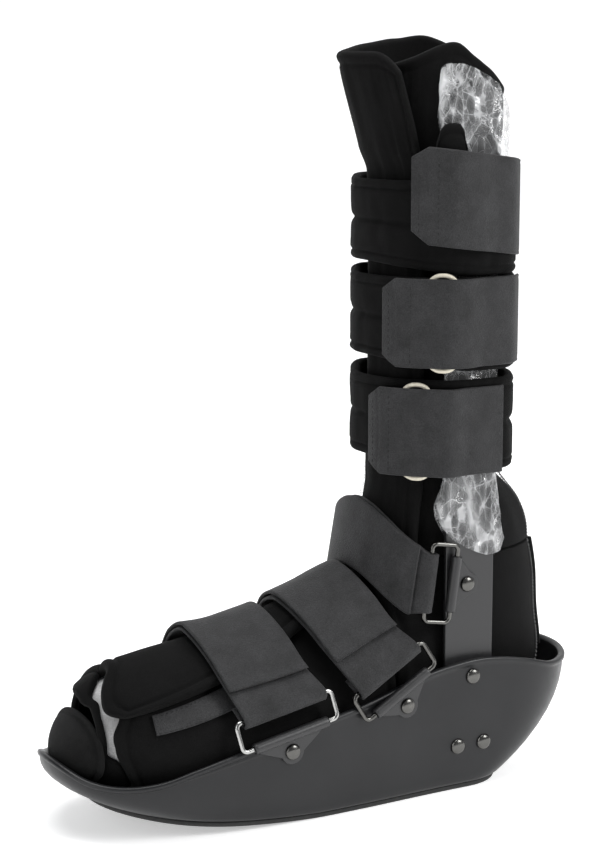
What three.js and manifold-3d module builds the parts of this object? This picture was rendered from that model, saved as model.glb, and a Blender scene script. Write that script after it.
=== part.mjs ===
// A tall medical walking boot: a rocker shell with two riveted uprights, a padded liner,
// three foot straps drawn through wire loops, and three padded calf bands.
// Millimetres. +Z is up, the toe points along -X and the wearer's left side is -Y.
// The origin is on the ground, under the uprights, halfway between them.
import * as THREE from "three";
import { mergeVertices } from "three/addons/utils/BufferGeometryUtils.js";
import Module from "manifold-3d";

const wasm = await Module();
wasm.setup();

// Clearances
const seat = 0.35; // between pieces that touch
const slack = 1.2; // between soft pieces

// Shell and outsole
const shellLength = 330;
const heelBack = 88; // from the uprights to the end of the heel
const shellHalf = 58; // half of the width at the ball of the foot
const heelHalf = 50.5; // half of the width at the heel
const rimHeight = 79; // at its highest, beside the uprights
const wall = 3;
const floorThickness = 3.5;
const outsoleThickness = 3;
const toeSpring = 14; // how far the rocker lifts the toe end of the sole
const heelTuck = 48; // how far the foot of the heel lies inside its rim
const toeTuck = 24;
const sideTuck = 4.5;

// Uprights
const uprightWidth = 32;
const uprightThickness = 3;
const uprightFoot = 19;
const uprightTop = 404;
const uprightX = 2.3;

// Rivets
const shankRadius = 2.2;
const headRadius = 4.6;
const headHeight = 2.3;
const uprightRivetHeight = 69;
const uprightRivetFoot = 28;
const uprightRivetSpread = 18;

// Liner
const linerWall = 6;
const liningWall = 2;
const linerHeight = 440;
const legNarrowing = 0.9; // share of the leg's depth that is left under the calf bands
const frontNarrowing = 0.87; // the same, in front
const legHalfDepth = 40.5;
const legX = 1.8;
const instepX = -46; // the crease at the front of the ankle
const instepZ = 138;
const heelReach = 157; // from that crease to the corner of the heel
const footHeight = 134; // of the foot at the crease, above the ground
const toeOpening = 41; // from the shell's toe to the front edge of the two foot flaps
const liningReach = 13; // the lining's front edge lies this far before the flaps'
const liningDepth = 53; // from that edge back under the flaps
const flapCorner = 9; // radius of the flaps' free corners
const flapReach = 13; // how far their free corners reach forward of their fronts at the sole
const frontFlapLean = 17; // how far the top of the front flap leans forward
const frontFlapBase = 357;
const capWall = 6.3;
const capTop = 71;
const capTip = 43; // height of the toe cap's tip
const capFoot = 28; // height of the foot of its rear edge
const capRoll = 30; // from the tip to the rear edge at its foot
const capLean = 14; // how far the rear edge leans forward over its height

// Straps, loops and tabs
const webbing = 2;
const forefootStrap = 52;
const instepStrap = 45;
const ankleStrap = 40;
const strapReturn = 9; // the sewn end of a strap, behind its own start
const toeLift = 3; // the stiff webbing stands off the foot at its toe side
const ankleReach = 21; // from the ankle loops forward to the strap's front
const ankleRise = 24; // the ankle strap climbs towards its front
const calfStrap = 50;
const topCalfStrap = 54;
const wire = 1.4; // radius of the strap loops' wire
const loopHeight = 19;
const tabSheet = 1.3;
const tabDrop = 10.5; // from a loop's lower bar to its rivet
const ankleLoopZ = 124;
const calfWire = 1.3;
const calfLoopWidth = 17;

// Calf bands
const padThickness = 5.5;
const padHeight = 53;
const lowerPad = 189;
const middlePad = 246.5;
const upperPad = 300;
const padTongue = 32; // the end of the upper band stands above its strap

// Leg sleeves of clear film
const film = 0.5;
const sleeveWidth = 45;
const squeezedSleeve = 35; // its width behind the calf bands
const sleeveFoot = 153;
const sleeveTop = 416;
const sleeveSlant = 18; // the heel side of each end lies lower

const rad = THREE.MathUtils.degToRad;
const V = (x, y, z) => new THREE.Vector3(x, y, z);
const lerp = THREE.MathUtils.lerp;
const clamp = THREE.MathUtils.clamp;
const ease = (x, low, high) => THREE.MathUtils.smoothstep(x, low, high);
const range = (n) => Array.from({ length: n }, (_, i) => i);

// Materials
const paint = (color, roughness, metalness = 0) =>
  new THREE.MeshStandardMaterial({ color, roughness, metalness });
const plastic = paint(0x2a2b2d, 0.45);
const rubber = paint(0x161617, 0.8);
const coated = paint(0x3a3b3c, 0.4, 0.3);
const metal = paint(0x8a8a88, 0.3, 1);
const velour = paint(0x0d0d0f, 0.95);
const lining = paint(0xb9bab8, 0.9);
const strapping = paint(0x333335, 0.8);
const clear = paint(0xdfe3e5, 0.15);
const ivory = paint(0xd9d2bd, 0.3, 0.6);

// Smooth value of one column of a table whose rows are sorted by `at`
function column(rows, key) {
  const slope = rows.map((row, i) => {
    const a = rows[Math.max(i - 1, 0)];
    const b = rows[Math.min(i + 1, rows.length - 1)];
    return (b[key] - a[key]) / (b.at - a.at);
  });
  return (x) => {
    let i = 0;
    while (i < rows.length - 2 && x > rows[i + 1].at) i++;
    const [a, b] = [rows[i], rows[i + 1]];
    const span = b.at - a.at;
    const t = clamp((x - a.at) / span, 0, 1);
    const [t2, t3] = [t * t, t * t * t];
    const ends = a[key] * (2 * t3 - 3 * t2 + 1) + b[key] * (3 * t2 - 2 * t3);
    return ends + span * (slope[i] * (t3 - 2 * t2 + t) + slope[i + 1] * (t3 - t2));
  };
}

// A geometry from points and triangles, with its faces pointing out
function solid(points, faces) {
  let volume = 0;
  for (const [a, b, c] of faces) {
    volume += points[a].dot(points[b].clone().cross(points[c]));
  }
  const turned = volume < 0 ? faces.map(([a, b, c]) => [a, c, b]) : faces;
  const geometry = new THREE.BufferGeometry();
  const numbers = points.flatMap((p) => p.toArray());
  geometry.setAttribute("position", new THREE.Float32BufferAttribute(numbers, 3));
  geometry.setIndex(turned.flat());
  return geometry;
}

// The normals of a grid of points, all on the same side of it
function gridNormals(grid, loop) {
  const [rows, cols] = [grid.length, grid[0].length];
  const row = (i) => grid[loop ? (i + rows) % rows : clamp(i, 0, rows - 1)];
  return grid.map((_, i) =>
    range(cols).map((j) => {
      const along = row(i + 1)[j].clone().sub(row(i - 1)[j]);
      const across = row(i)[Math.min(j + 1, cols - 1)].clone().sub(row(i)[Math.max(j - 1, 0)]);
      return along.cross(across).normalize();
    }),
  );
}

// A sheet on a grid of points, from one distance off the grid to another. Rows run along it and
// columns across it. The distances count away from the point inside(middle of the grid).
function sheet(grid, from, to, inside, loop = false) {
  const [rows, cols] = [grid.length, grid[0].length];
  const normals = gridNormals(grid, loop);
  const [midRow, midCol] = [Math.floor(rows / 2), Math.floor(cols / 2)];
  const middle = grid[midRow][midCol];
  const side = Math.sign(normals[midRow][midCol].dot(middle.clone().sub(inside(middle))));
  const last = rows - (loop ? 0 : 1);
  const layer = (distance) =>
    grid.flatMap((row, i) =>
      row.map((p, j) => {
        const value = typeof distance === "function" ? distance(i / last, j / (cols - 1)) : distance;
        return p.clone().addScaledVector(normals[i][j], side * value);
      }),
    );
  const under = (i, j) => (i % rows) * cols + j;
  const over = (i, j) => rows * cols + under(i, j);
  const faces = [];
  const quad = (a, b, c, d) => faces.push([a, b, c], [a, c, d]);
  for (const i of range(last)) {
    for (const j of range(cols - 1)) {
      quad(under(i, j), under(i, j + 1), under(i + 1, j + 1), under(i + 1, j));
      quad(over(i, j), over(i + 1, j), over(i + 1, j + 1), over(i, j + 1));
    }
    quad(under(i, 0), under(i + 1, 0), over(i + 1, 0), over(i, 0));
    quad(under(i, cols - 1), over(i, cols - 1), over(i + 1, cols - 1), under(i + 1, cols - 1));
  }
  if (!loop) {
    for (const j of range(cols - 1)) {
      quad(under(0, j), over(0, j), over(0, j + 1), under(0, j + 1));
      quad(under(last, j), under(last, j + 1), over(last, j + 1), over(last, j));
    }
  }
  return solid([...layer(from), ...layer(to)], faces);
}

// A stack of closed outlines, joined by walls, with strips across the middle at both ends.
// Each outline starts at one end, runs down one side and comes back up the other.
function stack(rings) {
  const count = rings[0].length;
  const faces = [];
  for (const r of range(rings.length - 1)) {
    for (const k of range(count)) {
      const [a, b] = [r * count + k, r * count + ((k + 1) % count)];
      faces.push([a, b, b + count], [a, b + count, a + count]);
    }
  }
  const cap = (base, turned) => {
    const triangle = (a, b, c) => {
      if (a === b || b === c || a === c) return;
      faces.push(turned ? [base + a, base + c, base + b] : [base + a, base + b, base + c]);
    };
    for (const k of range(count / 2)) {
      const [near, far] = [(count - k) % count, count - k - 1];
      triangle(k, near, k + 1);
      triangle(k + 1, near, far);
    }
  };
  cap(0, false);
  cap((rings.length - 1) * count, true);
  return solid(rings.flat(), faces);
}

// A wire of round section along a closed path that lies in one plane
function wireLoop(path, radius, normal) {
  const sides = 6;
  const count = path.length;
  const points = path.flatMap((p, i) => {
    const before = path[(i + count - 1) % count];
    const after = path[(i + 1) % count];
    const side = after.clone().sub(before).normalize().cross(normal);
    return range(sides).map((k) => {
      const a = (k / sides) * 2 * Math.PI;
      const ring = p.clone().addScaledVector(side, radius * Math.cos(a));
      return ring.addScaledVector(normal, radius * Math.sin(a));
    });
  });
  const faces = [];
  for (const i of range(count)) {
    for (const k of range(sides)) {
      const [next, up] = [((i + 1) % count) * sides, (k + 1) % sides];
      const [a, b, c, d] = [i * sides + k, next + k, next + up, i * sides + up];
      faces.push([a, b, c], [a, c, d]);
    }
  }
  return solid(points, faces);
}

// Booleans
function toSolid(geometry) {
  const bare = geometry.clone();
  bare.deleteAttribute("normal");
  bare.deleteAttribute("uv");
  const merged = mergeVertices(bare, 1e-4);
  const mesh = new wasm.Mesh({
    numProp: 3,
    vertProperties: merged.attributes.position.array,
    triVerts: new Uint32Array(merged.index.array),
  });
  return new wasm.Manifold(mesh);
}

function toGeometry(manifold) {
  const mesh = manifold.getMesh();
  const geometry = new THREE.BufferGeometry();
  geometry.setAttribute("position", new THREE.BufferAttribute(mesh.vertProperties, 3));
  geometry.setIndex(new THREE.BufferAttribute(mesh.triVerts, 1));
  return geometry;
}

function drill(geometry, tools) {
  return toGeometry(tools.reduce((left, tool) => left.subtract(toSolid(tool)), toSolid(geometry)));
}

function join(first, second) {
  return toGeometry(toSolid(first).add(toSolid(second)));
}

// Shell: `at` is the share of its length from the heel to the toe
const rimRows = [
  { at: 0, rim: 0.873 },
  { at: 0.037, rim: 0.861 },
  { at: 0.089, rim: 0.873 },
  { at: 0.144, rim: 0.937 },
  { at: 0.196, rim: 0.981 },
  { at: 0.248, rim: 1 },
  { at: 0.298, rim: 0.987 },
  { at: 0.359, rim: 0.949 },
  { at: 0.485, rim: 0.81 },
  { at: 0.555, rim: 0.747 },
  { at: 0.724, rim: 0.608 },
  { at: 0.804, rim: 0.532 },
  { at: 0.862, rim: 0.465 },
  { at: 0.92, rim: 0.44 },
  { at: 0.965, rim: 0.47 },
  { at: 1, rim: 0.565 },
];
const rockerRows = [
  { at: 0, lift: 0 },
  { at: 0.5, lift: 0 },
  { at: 0.58, lift: 0.02 },
  { at: 0.69, lift: 0.2 },
  { at: 0.8, lift: 0.52 },
  { at: 0.89, lift: 0.88 },
  { at: 1, lift: 1.35 },
];
const rimShare = column(rimRows, "rim");
const liftShare = column(rockerRows, "lift");
const heelRound = 0.16; // shares of the length over which the two ends round off
const toeRound = 0.26;
const shellMiddle = heelBack - 0.454 * shellLength; // where the tucks at the two ends meet
const heelLength = heelBack - shellMiddle;
const toeLength = shellLength - heelLength;

const shareAt = (x) => clamp((heelBack - x) / shellLength, 0, 1);
const rimZ = (x) => rimHeight * rimShare(shareAt(x));
const ground = (x) => toeSpring * liftShare(shareAt(x));
const soleTop = (x) => ground(x) + outsoleThickness + seat;

// Half of the shell's width at its rim
function halfWidth(at) {
  const base = lerp(heelHalf, shellHalf, ease(at, 0.1, 0.7));
  const heel = clamp((heelRound - at) / heelRound, 0, 1);
  const toe = clamp((at - 1 + toeRound) / toeRound, 0, 1);
  return base * Math.sqrt(1 - heel ** 2.3) * Math.sqrt(1 - toe ** 2.4);
}

// The shell narrows from its rim, level 1, to the edge of its sole, level 0.
function tuckedX(x, level) {
  const away = 1 - clamp(level, 0, 1);
  const heel = 1 - (heelTuck / heelLength) * away ** 2.2;
  const toe = 1 - (toeTuck / toeLength) * away ** 3.6;
  return shellMiddle + (x - shellMiddle) * (x > shellMiddle ? heel : toe);
}
const tuckedHalf = (half, level) =>
  half * (1 - (sideTuck / shellHalf) * (1 - clamp(level, 0, 1)) ** 3);

const stations = 19;
function shellRing(level, inset, lift) {
  const along = (shellLength - 2 * inset) / shellLength;
  const across = (shellHalf - inset) / shellHalf;
  const centre = heelBack - shellLength / 2;
  const place = (i, side) => {
    const at = (1 - Math.cos((Math.PI * i) / stations)) / 2;
    const x = centre + (tuckedX(heelBack - at * shellLength, level) - centre) * along;
    const y = side * tuckedHalf(halfWidth(at), level) * across;
    return V(x, y, lerp(soleTop(x) + lift, rimHeight * rimShare(at), level));
  };
  const down = range(stations + 1).map((i) => place(i, -1));
  const back = range(stations - 1).map((i) => place(stations - 1 - i, 1));
  return [...down, ...back];
}

const shellLevels = [0, 0.12, 0.32, 0.62, 1];
function shell(holes) {
  const outer = shellLevels.map((level) => shellRing(level, 0, 0));
  const inner = [...shellLevels].reverse().map((level) => shellRing(level, wall, floorThickness));
  return drill(stack([...outer, ...inner]), holes);
}

function outsole() {
  const ring = (thickness) => shellRing(0, 2, 0).map((p) => V(p.x, p.y, ground(p.x) + thickness));
  return stack([ring(0), ring(outsoleThickness)]);
}

// Half of the shell's outer width at x and height z
function wallHalf(x, z) {
  let level = 0.5;
  let rim = x;
  for (const _ of range(12)) {
    rim = shellMiddle + (x - shellMiddle) ** 2 / (tuckedX(x, level) - shellMiddle);
    level = clamp((z - soleTop(x)) / (rimZ(rim) - soleTop(x)), 0, 1);
  }
  return tuckedHalf(halfWidth(shareAt(rim)), level);
}

// A point on the shell's outer wall and the way that the wall faces there
function wallFrame(x, z, side) {
  const step = 3;
  const slopeX = (wallHalf(x + step, z) - wallHalf(x - step, z)) / (2 * step);
  const slopeZ = (wallHalf(x, z + step) - wallHalf(x, z - step)) / (2 * step);
  return {
    point: V(x, side * wallHalf(x, z), z),
    out: V(-slopeX, side, -slopeZ).normalize(),
  };
}

// Rivets: a domed head outside, and a shank that passes in through what it holds
function turnTo(geometry, point, out) {
  const turn = new THREE.Quaternion().setFromUnitVectors(V(0, 1, 0), out);
  return geometry.applyQuaternion(turn).translate(point.x, point.y, point.z);
}

function rivet(point, out, shank) {
  const profile = [
    new THREE.Vector2(0, -shank),
    new THREE.Vector2(shankRadius, -shank),
    new THREE.Vector2(shankRadius, 0),
    new THREE.Vector2(headRadius, 0),
    new THREE.Vector2(headRadius * 0.72, headHeight * 0.75),
    new THREE.Vector2(0, headHeight),
  ];
  return turnTo(new THREE.LatheGeometry(profile, 8), point, out);
}

function rivetHole(point, out, reach) {
  const radius = shankRadius + seat;
  return turnTo(new THREE.CylinderGeometry(radius, radius, 2 * reach, 8), point, out);
}

// Uprights: flat bars inside the shell, with their outer face against its wall
const narrowest = Math.min(
  wallHalf(uprightX - uprightWidth / 2, uprightFoot),
  wallHalf(uprightX + uprightWidth / 2, uprightFoot),
);
const uprightOuter = narrowest * ((shellHalf - wall) / shellHalf) - slack;
const uprightInner = uprightOuter - uprightThickness;
const rivetsX = uprightX - 1.2;
const uprightRivets = [
  { name: "top", x: rivetsX, z: uprightRivetHeight },
  { name: "front", x: rivetsX - uprightRivetSpread / 2, z: uprightRivetFoot },
  { name: "back", x: rivetsX + uprightRivetSpread / 2, z: uprightRivetFoot },
];

function upright(side, ankleRivet) {
  const half = uprightWidth / 2;
  const dome = half * 0.6;
  const bar = new THREE.Shape();
  bar.moveTo(uprightX - half, uprightFoot);
  bar.lineTo(uprightX + half, uprightFoot);
  bar.lineTo(uprightX + half, uprightTop - dome);
  bar.absellipse(uprightX, uprightTop - dome, half, dome, 0, Math.PI, false, 0);
  bar.closePath();
  const options = { depth: uprightThickness, bevelEnabled: false, curveSegments: 4 };
  const plate = new THREE.ExtrudeGeometry(bar, options);
  plate.rotateX(Math.PI / 2); // the outline now lies in XZ, and the thickness runs along -Y
  plate.translate(0, side < 0 ? -uprightInner : uprightOuter, 0);
  const holes = [...uprightRivets, ankleRivet].map(({ x, z }) =>
    rivetHole(V(x, side * uprightOuter, z), V(0, side, 0), 2 * uprightThickness),
  );
  return drill(plate, holes);
}

// The power of a rounded section: 2 is an ellipse, more is boxier and less is more pointed.
const bent = (v, power) => Math.sign(v) * Math.abs(v) ** (2 / power);

// The liner's foot: half width, as a share of the room in the shell, and ridge height at x
const footRows = [
  { at: 0.2, half: 0.9, ridge: 1.1 },
  { at: 0.36, half: 0.92, ridge: 1.02 },
  { at: 0.411, half: 0.94, ridge: 0.975 },
  { at: 0.466, half: 0.96, ridge: 0.93 },
  { at: 0.53, half: 0.97, ridge: 0.865 },
  { at: 0.605, half: 0.97, ridge: 0.805 },
  { at: 0.69, half: 0.97, ridge: 0.765 },
  { at: 0.77, half: 0.98, ridge: 0.75 },
  { at: 0.84, half: 0.97, ridge: 0.74 },
  { at: 0.9, half: 0.93, ridge: 0.72 },
  { at: 0.94, half: 0.86, ridge: 0.665 },
];
const footHalfShare = column(footRows, "half");
const footRidgeShare = column(footRows, "ridge");
const toeEnd = heelBack - shellLength;
const footFront = toeEnd + toeOpening;
const footBase = (x) => soleTop(x) + floorThickness + slack;
const footTopPower = 1.6;
const footSolePower = 2.6;
const lap = linerWall + 1.6 * slack;

// A point on the foot at x and an angle: 0 is the right side, 90 the ridge, 180 the left side
// and 270 the sole. An offset moves it out from the foot's own surface.
function footPoint(x, degrees, offset = 0) {
  const at = shareAt(x);
  const low = footBase(x);
  const high = footHeight * footRidgeShare(at) - lap;
  const room = halfWidth(at) - wall - slack;
  const half = room * footHalfShare(at);
  const rise = (high - low) / 2;
  const a = rad(degrees);
  const power = Math.sin(a) > 0 ? footTopPower : footSolePower;
  const y = (half + offset) * bent(Math.cos(a), power);
  return V(x, y, low + rise + (rise + offset) * bent(Math.sin(a), power));
}
const footCore = (p) => V(p.x, 0, (footHeight + p.z) / 4);

// Each flap starts under the sole. The right one passes over the ridge and laps the left one.
// Its edge lies low on the left side at the toe, and climbs towards the ridge at the instep.
const edgeAtToe = 149;
const edgeAtInstep = 104;
const overlapTurn = 27;
const rightEdge = (x) => lerp(edgeAtToe, edgeAtInstep, (x - footFront) / (instepX - footFront));
const raised = (x, angle) =>
  lap * ease(angle, rightEdge(x) - overlapTurn - 40, rightEdge(x) - overlapTurn - 12);
const flapStations = [0, 0.08, 0.2, 0.38, 0.58, 0.79, 1];
const flapTurn = 20; // the angle over which a flap's corner rounds off
// How far forward each flap's front edge lies, by the angle round the foot
const farReachRows = [
  { at: -89, reach: 0 },
  { at: -40, reach: 0.18 },
  { at: 0, reach: 0.3 },
  { at: 60, reach: 0.42 },
  { at: 105, reach: 0.45 },
  { at: 123, reach: 0.88 },
  { at: 138, reach: 1 },
  { at: 149, reach: 0.9 },
];
const nearReachRows = [
  { at: 122, reach: 0.3 },
  { at: 146, reach: 0.5 },
  { at: 162, reach: 0.6 },
  { at: 181, reach: 0.52 },
  { at: 191, reach: 0.4 },
  { at: 205, reach: 0.2 },
  { at: 225, reach: 0.04 },
  { at: 245, reach: 0 },
  { at: 269, reach: 0 },
];
function flap(start, ending, rows, lift, reachRows) {
  const reach = column(reachRows, "reach");
  const grid = range(rows).map((i) => {
    const s = i / (rows - 1);
    const share = s < 0.85 ? s * 1.05 : lerp(0.8925, 1, (s - 0.85) / 0.15);
    const corner = clamp(1 - Math.abs((1 - share) * (ending(footFront) - start)) / flapTurn, 0, 1);
    const straight = footFront - flapReach * reach(lerp(start, ending(footFront), share));
    const front = straight + flapCorner * (1 - Math.sqrt(1 - corner ** 2));
    return flapStations.map((along) => {
      const x = lerp(front, instepX - seat, along);
      const angle = lerp(start, ending(x), share);
      return footPoint(x, angle, lift(x, angle) - linerWall);
    });
  });
  return sheet(grid, 0, linerWall, footCore);
}
const leftFlap = () => flap(269, (x) => rightEdge(x) - overlapTurn, 15, () => 0, nearReachRows);
const rightFlap = () => flap(-89, rightEdge, 21, raised, farReachRows);

// The light lining, which shows between the flaps and the toe cap
function toeLining() {
  const depth = linerWall + liningWall + slack;
  const front = footFront - liningReach;
  const rows = 17;
  const grid = range(rows).map((i) => {
    const angle = lerp(-25, 205, i / (rows - 1));
    return range(4).map((j) => footPoint(front + (liningDepth * j) / 3, angle, -depth));
  });
  return sheet(grid, 0, liningWall, footCore);
}

// The heel of the liner fans round the crease at the instep, from the foot's last section
// to the leg's first. `at` is the angle from straight down.
const heelRows = [
  { at: 0, reach: 0.828, half: 1.15 },
  { at: 6, reach: 0.832, half: 1.1 },
  { at: 12, reach: 0.845, half: 1 },
  { at: 20, reach: 0.88, half: 1 },
  { at: 30, reach: 0.95, half: 1 },
  { at: 38, reach: 0.985, half: 1 },
  { at: 46, reach: 0.975, half: 1 },
  { at: 57, reach: 0.925, half: 1 },
  { at: 69, reach: 0.817, half: 1 },
  { at: 81, reach: 0.761, half: 1 },
  { at: 90, reach: 0.726, half: 1 },
];
const heelReachShare = column(heelRows, "reach");
const heelHalfShare = column(heelRows, "half");
const creaseGap = 4;
const legHalf = uprightInner - 2 * seat - film; // half of the leg's width, between the uprights
const heelBackPower = 1.8;

function heelPoint(turn, degrees, offset) {
  const a = rad(degrees);
  const far = heelReach * heelReachShare(turn);
  const [middle, spread] = [(far + creaseGap) / 2, (far - creaseGap) / 2];
  const power = Math.sin(a) > 0 ? 2 : lerp(footSolePower, heelBackPower, ease(turn, 10, 60));
  const out = middle - (spread + offset) * bent(Math.sin(a), power);
  const y = (legHalf * heelHalfShare(turn) + offset) * bent(Math.cos(a), power);
  return V(instepX + out * Math.sin(rad(turn)), y, instepZ - out * Math.cos(rad(turn)));
}

function heelLiner() {
  const turns = range(8).map((i) => lerp(1, 89.4, i / 7));
  const around = 20;
  const grid = range(around).map((i) =>
    turns.map((turn) => heelPoint(turn, ((i + 0.5) / around) * 360, -linerWall)),
  );
  return sheet(grid, 0, linerWall, (p) => V(p.x, 0, p.z), true);
}

// The leg: how far it reaches forward and back at height z, as shares of legHalfDepth
const legRows = [
  { at: 0, front: 1, back: 1.6 },
  { at: 0.043, front: 0.98, back: 1.46 },
  { at: 0.086, front: 0.94, back: 1.28 },
  { at: 0.113, front: 0.9, back: 1.12 },
  { at: 0.135, front: frontNarrowing, back: 0.98 },
  { at: 0.155, front: frontNarrowing, back: legNarrowing },
  { at: 0.72, front: frontNarrowing, back: legNarrowing },
  { at: 0.77, front: 0.98, back: 1 },
  { at: 1, front: 1, back: 1 },
];
const legFrontShare = column(legRows, "front");
const legBackShare = column(legRows, "back");
const legShare = (z) => clamp((z - instepZ) / (linerHeight - instepZ), 0, 1);

// A point round the leg at an angle: 0 behind, 90 the right side, 180 in front, 270 the left side
function roundLeg(z, degrees, front, back, half, power) {
  const a = rad(degrees);
  const depth = Math.cos(a) > 0 ? back : front;
  return V(legX + depth * bent(Math.cos(a), power), half * bent(Math.sin(a), power), z);
}
const legCore = (p) => V(legX, 0, p.z);

function legPoint(z, degrees, offset) {
  const front = legHalfDepth * legFrontShare(legShare(z)) + offset;
  const back = legHalfDepth * legBackShare(legShare(z)) + offset;
  const behind = Math.cos(rad(degrees)) > 0;
  const power = behind ? lerp(heelBackPower, 2, ease(legShare(z), 0.05, 0.16)) : 2;
  return roundLeg(z, degrees, front, back, legHalf + offset, power);
}

// The leg liner is one sheet: it starts under its own front flap, goes round the leg and laps itself.
const collarRows = [
  { at: 196, top: 0.945 },
  { at: 220, top: 0.955 },
  { at: 248, top: 0.972 },
  { at: 262, top: 0.972 },
  { at: 275, top: 0.955 },
  { at: 290, top: 0.935 },
  { at: 312, top: 0.915 },
  { at: 335, top: 0.908 },
  { at: 360, top: 0.915 },
  { at: 385, top: 0.938 },
  { at: 410, top: 0.963 },
  { at: 450, top: 0.978 },
  { at: 490, top: 0.972 },
  { at: 530, top: 0.962 },
  { at: 600, top: 0.962 },
];
const collarShare = column(collarRows, "top");
const legStart = 200;
const lapEnd = 590; // the angle at which the front flap's edge lies
const legLevels = [0, 0.055, 0.11, 0.165, 0.43, 0.757, 0.82, 0.9, 1];
function legLiner() {
  const rows = 27;
  const grid = range(rows).map((i) =>
    legLevels.map((up) => {
      const angle = lerp(legStart, lapEnd, i / (rows - 1));
      const z = lerp(instepZ + 2 * seat, linerHeight * collarShare(angle), up);
      const p = legPoint(z, angle, lap * (ease(angle, 508, 548) - 1) + slack);
      const lean = ease(angle, 470, 530) * ease(z, frontFlapBase, linerHeight);
      return p.setX(p.x - frontFlapLean * lean);
    }),
  );
  return sheet(grid, 0, linerWall, legCore);
}

// Calf bands: padded rings outside the leg and both uprights, with sewn channels
const legSkin = linerWall + 2 * slack - lap; // from the leg's own surface to the bands
const padFront = legHalfDepth * frontNarrowing + legSkin;
const padBack = legHalfDepth * legNarrowing + legSkin;
const padPower = 2;
const barEdge = Math.max(
  (squeezedSleeve / 2 + uprightX - legX) / padBack,
  (squeezedSleeve / 2 - uprightX + legX) / padFront,
);
const padRoom = uprightOuter + film + slack + 2 * seat; // beside the edge of the upright
const padInnerHalf = padRoom / (1 - barEdge ** padPower) ** (1 / padPower);
const channelRows = [
  { at: 0, rise: 0.6 },
  { at: 0.12, rise: 0.85 },
  { at: 0.32, rise: 1 },
  { at: 0.5, rise: 0.74 },
  { at: 0.68, rise: 1 },
  { at: 0.88, rise: 0.85 },
  { at: 1, rise: 0.6 },
];
const channelRise = column(channelRows, "rise");

function padPoint(z, degrees, offset) {
  const lapped = lap * ease(degrees, 146, 180) * (1 - ease(degrees, 206, 240));
  const front = padFront + offset + lapped;
  return roundLeg(z, degrees, front, padBack + offset, padInnerHalf + offset, padPower);
}

const tongueAngle = 243;
const tongueTurn = 9; // half of the angle that the tongue spans
const tongueLean = 2.5; // the tongue stands off the film
const padRise = 7; // a band is that much lower in front than behind
function calfPad(bottom, tongue) {
  const around = 23;
  const grid = range(around).map((i) => {
    const angle = (i / around) * 360;
    const up = Math.abs(angle - tongueAngle) < tongueTurn ? tongue : 0;
    const low = bottom + padRise * Math.max(-Math.cos(rad(angle)), 0) ** 2;
    return channelRows.map(({ at }) => {
      const z = lerp(low, bottom + padHeight, at) + up * at ** 3;
      return padPoint(z, angle, up ? tongueLean * at ** 3 : 0);
    });
  });
  return sheet(grid, 0, (_, v) => padThickness * channelRise(v), legCore, true);
}

// Calf straps: webbing on the left side of the band, over a wire loop
function calfStrapSheet({ bottom, up, width, from, to, drop, bulge }) {
  const rows = 12;
  const grid = range(rows).map((i) => {
    const angle = lerp(from, to, i / (rows - 1));
    const over = (2 * calfWire + slack + seat) * (1 - ease(Math.abs(angle - bulge), 16, 36));
    const centre = bottom + up - (drop * i) / (rows - 1);
    const half = width / 2 - (i === 0 ? width / 8 : 0);
    return [-1, 0, 1].map((v) => padPoint(centre + v * half, angle, padThickness + seat + over));
  });
  return sheet(grid, 0, webbing, legCore);
}

// A rounded rectangle, as a closed path in the plane of two unit vectors
function roundedPath(centre, wide, tall, width, height, corner, steps) {
  const corners = [[1, 1, 0], [-1, 1, 90], [-1, -1, 180], [1, -1, 270]];
  return corners.flatMap(([sx, sy, start]) =>
    range(steps + 1).map((k) => {
      const a = rad(start + (90 * k) / steps);
      const u = sx * (width / 2 - corner) + corner * Math.cos(a);
      const v = sy * (height / 2 - corner) + corner * Math.sin(a);
      return centre.clone().addScaledVector(wide, u).addScaledVector(tall, v);
    }),
  );
}

function calfLoop({ bottom, up, width, bulge }) {
  const reach = padThickness + calfWire + 2 * seat;
  const z = bottom + up;
  const centre = padPoint(z, bulge, reach);
  const wide = padPoint(z, bulge + 4, reach).sub(padPoint(z, bulge - 4, reach));
  wide.normalize();
  const out = wide.clone().cross(V(0, 0, 1)).normalize();
  const height = width + 2 * calfWire + 2 * seat;
  const path = roundedPath(centre, wide, V(0, 0, 1), calfLoopWidth, height, calfLoopWidth * 0.45, 3);
  return wireLoop(path, calfWire, out);
}

// A foot strap's loop hangs in a folded tab that a rivet holds. A frame has the middle of the
// loop's lower bar, the way along the bar, the way out and the way up, and the same for the
// upper bar, where the loop leans in.
const foldRadius = wire + seat + tabSheet;
const loopCorner = 3;
const barSpan = loopHeight - 2 * wire;
function loopFrame(bar, slopeWay, out, lean, width) {
  const along = slopeWay.clone().addScaledVector(out, -slopeWay.dot(out)).normalize();
  const up = along.clone().cross(out).normalize();
  if (up.dot(V(-1, 0, 1)) < 0) up.negate();
  const rise = up.clone().multiplyScalar(Math.cos(rad(lean))).addScaledVector(out, -Math.sin(rad(lean)));
  const top = bar.clone().addScaledVector(rise, barSpan);
  const away = out.clone().multiplyScalar(Math.cos(rad(lean))).addScaledVector(up, Math.sin(rad(lean)));
  return { bar, along, out, up, rise, top, away, width };
}

function strapLoop({ bar, along, rise, away, width }) {
  const centre = bar.clone().addScaledVector(rise, barSpan / 2);
  return wireLoop(roundedPath(centre, along, rise, width, barSpan, loopCorner, 2), wire, away);
}

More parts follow.
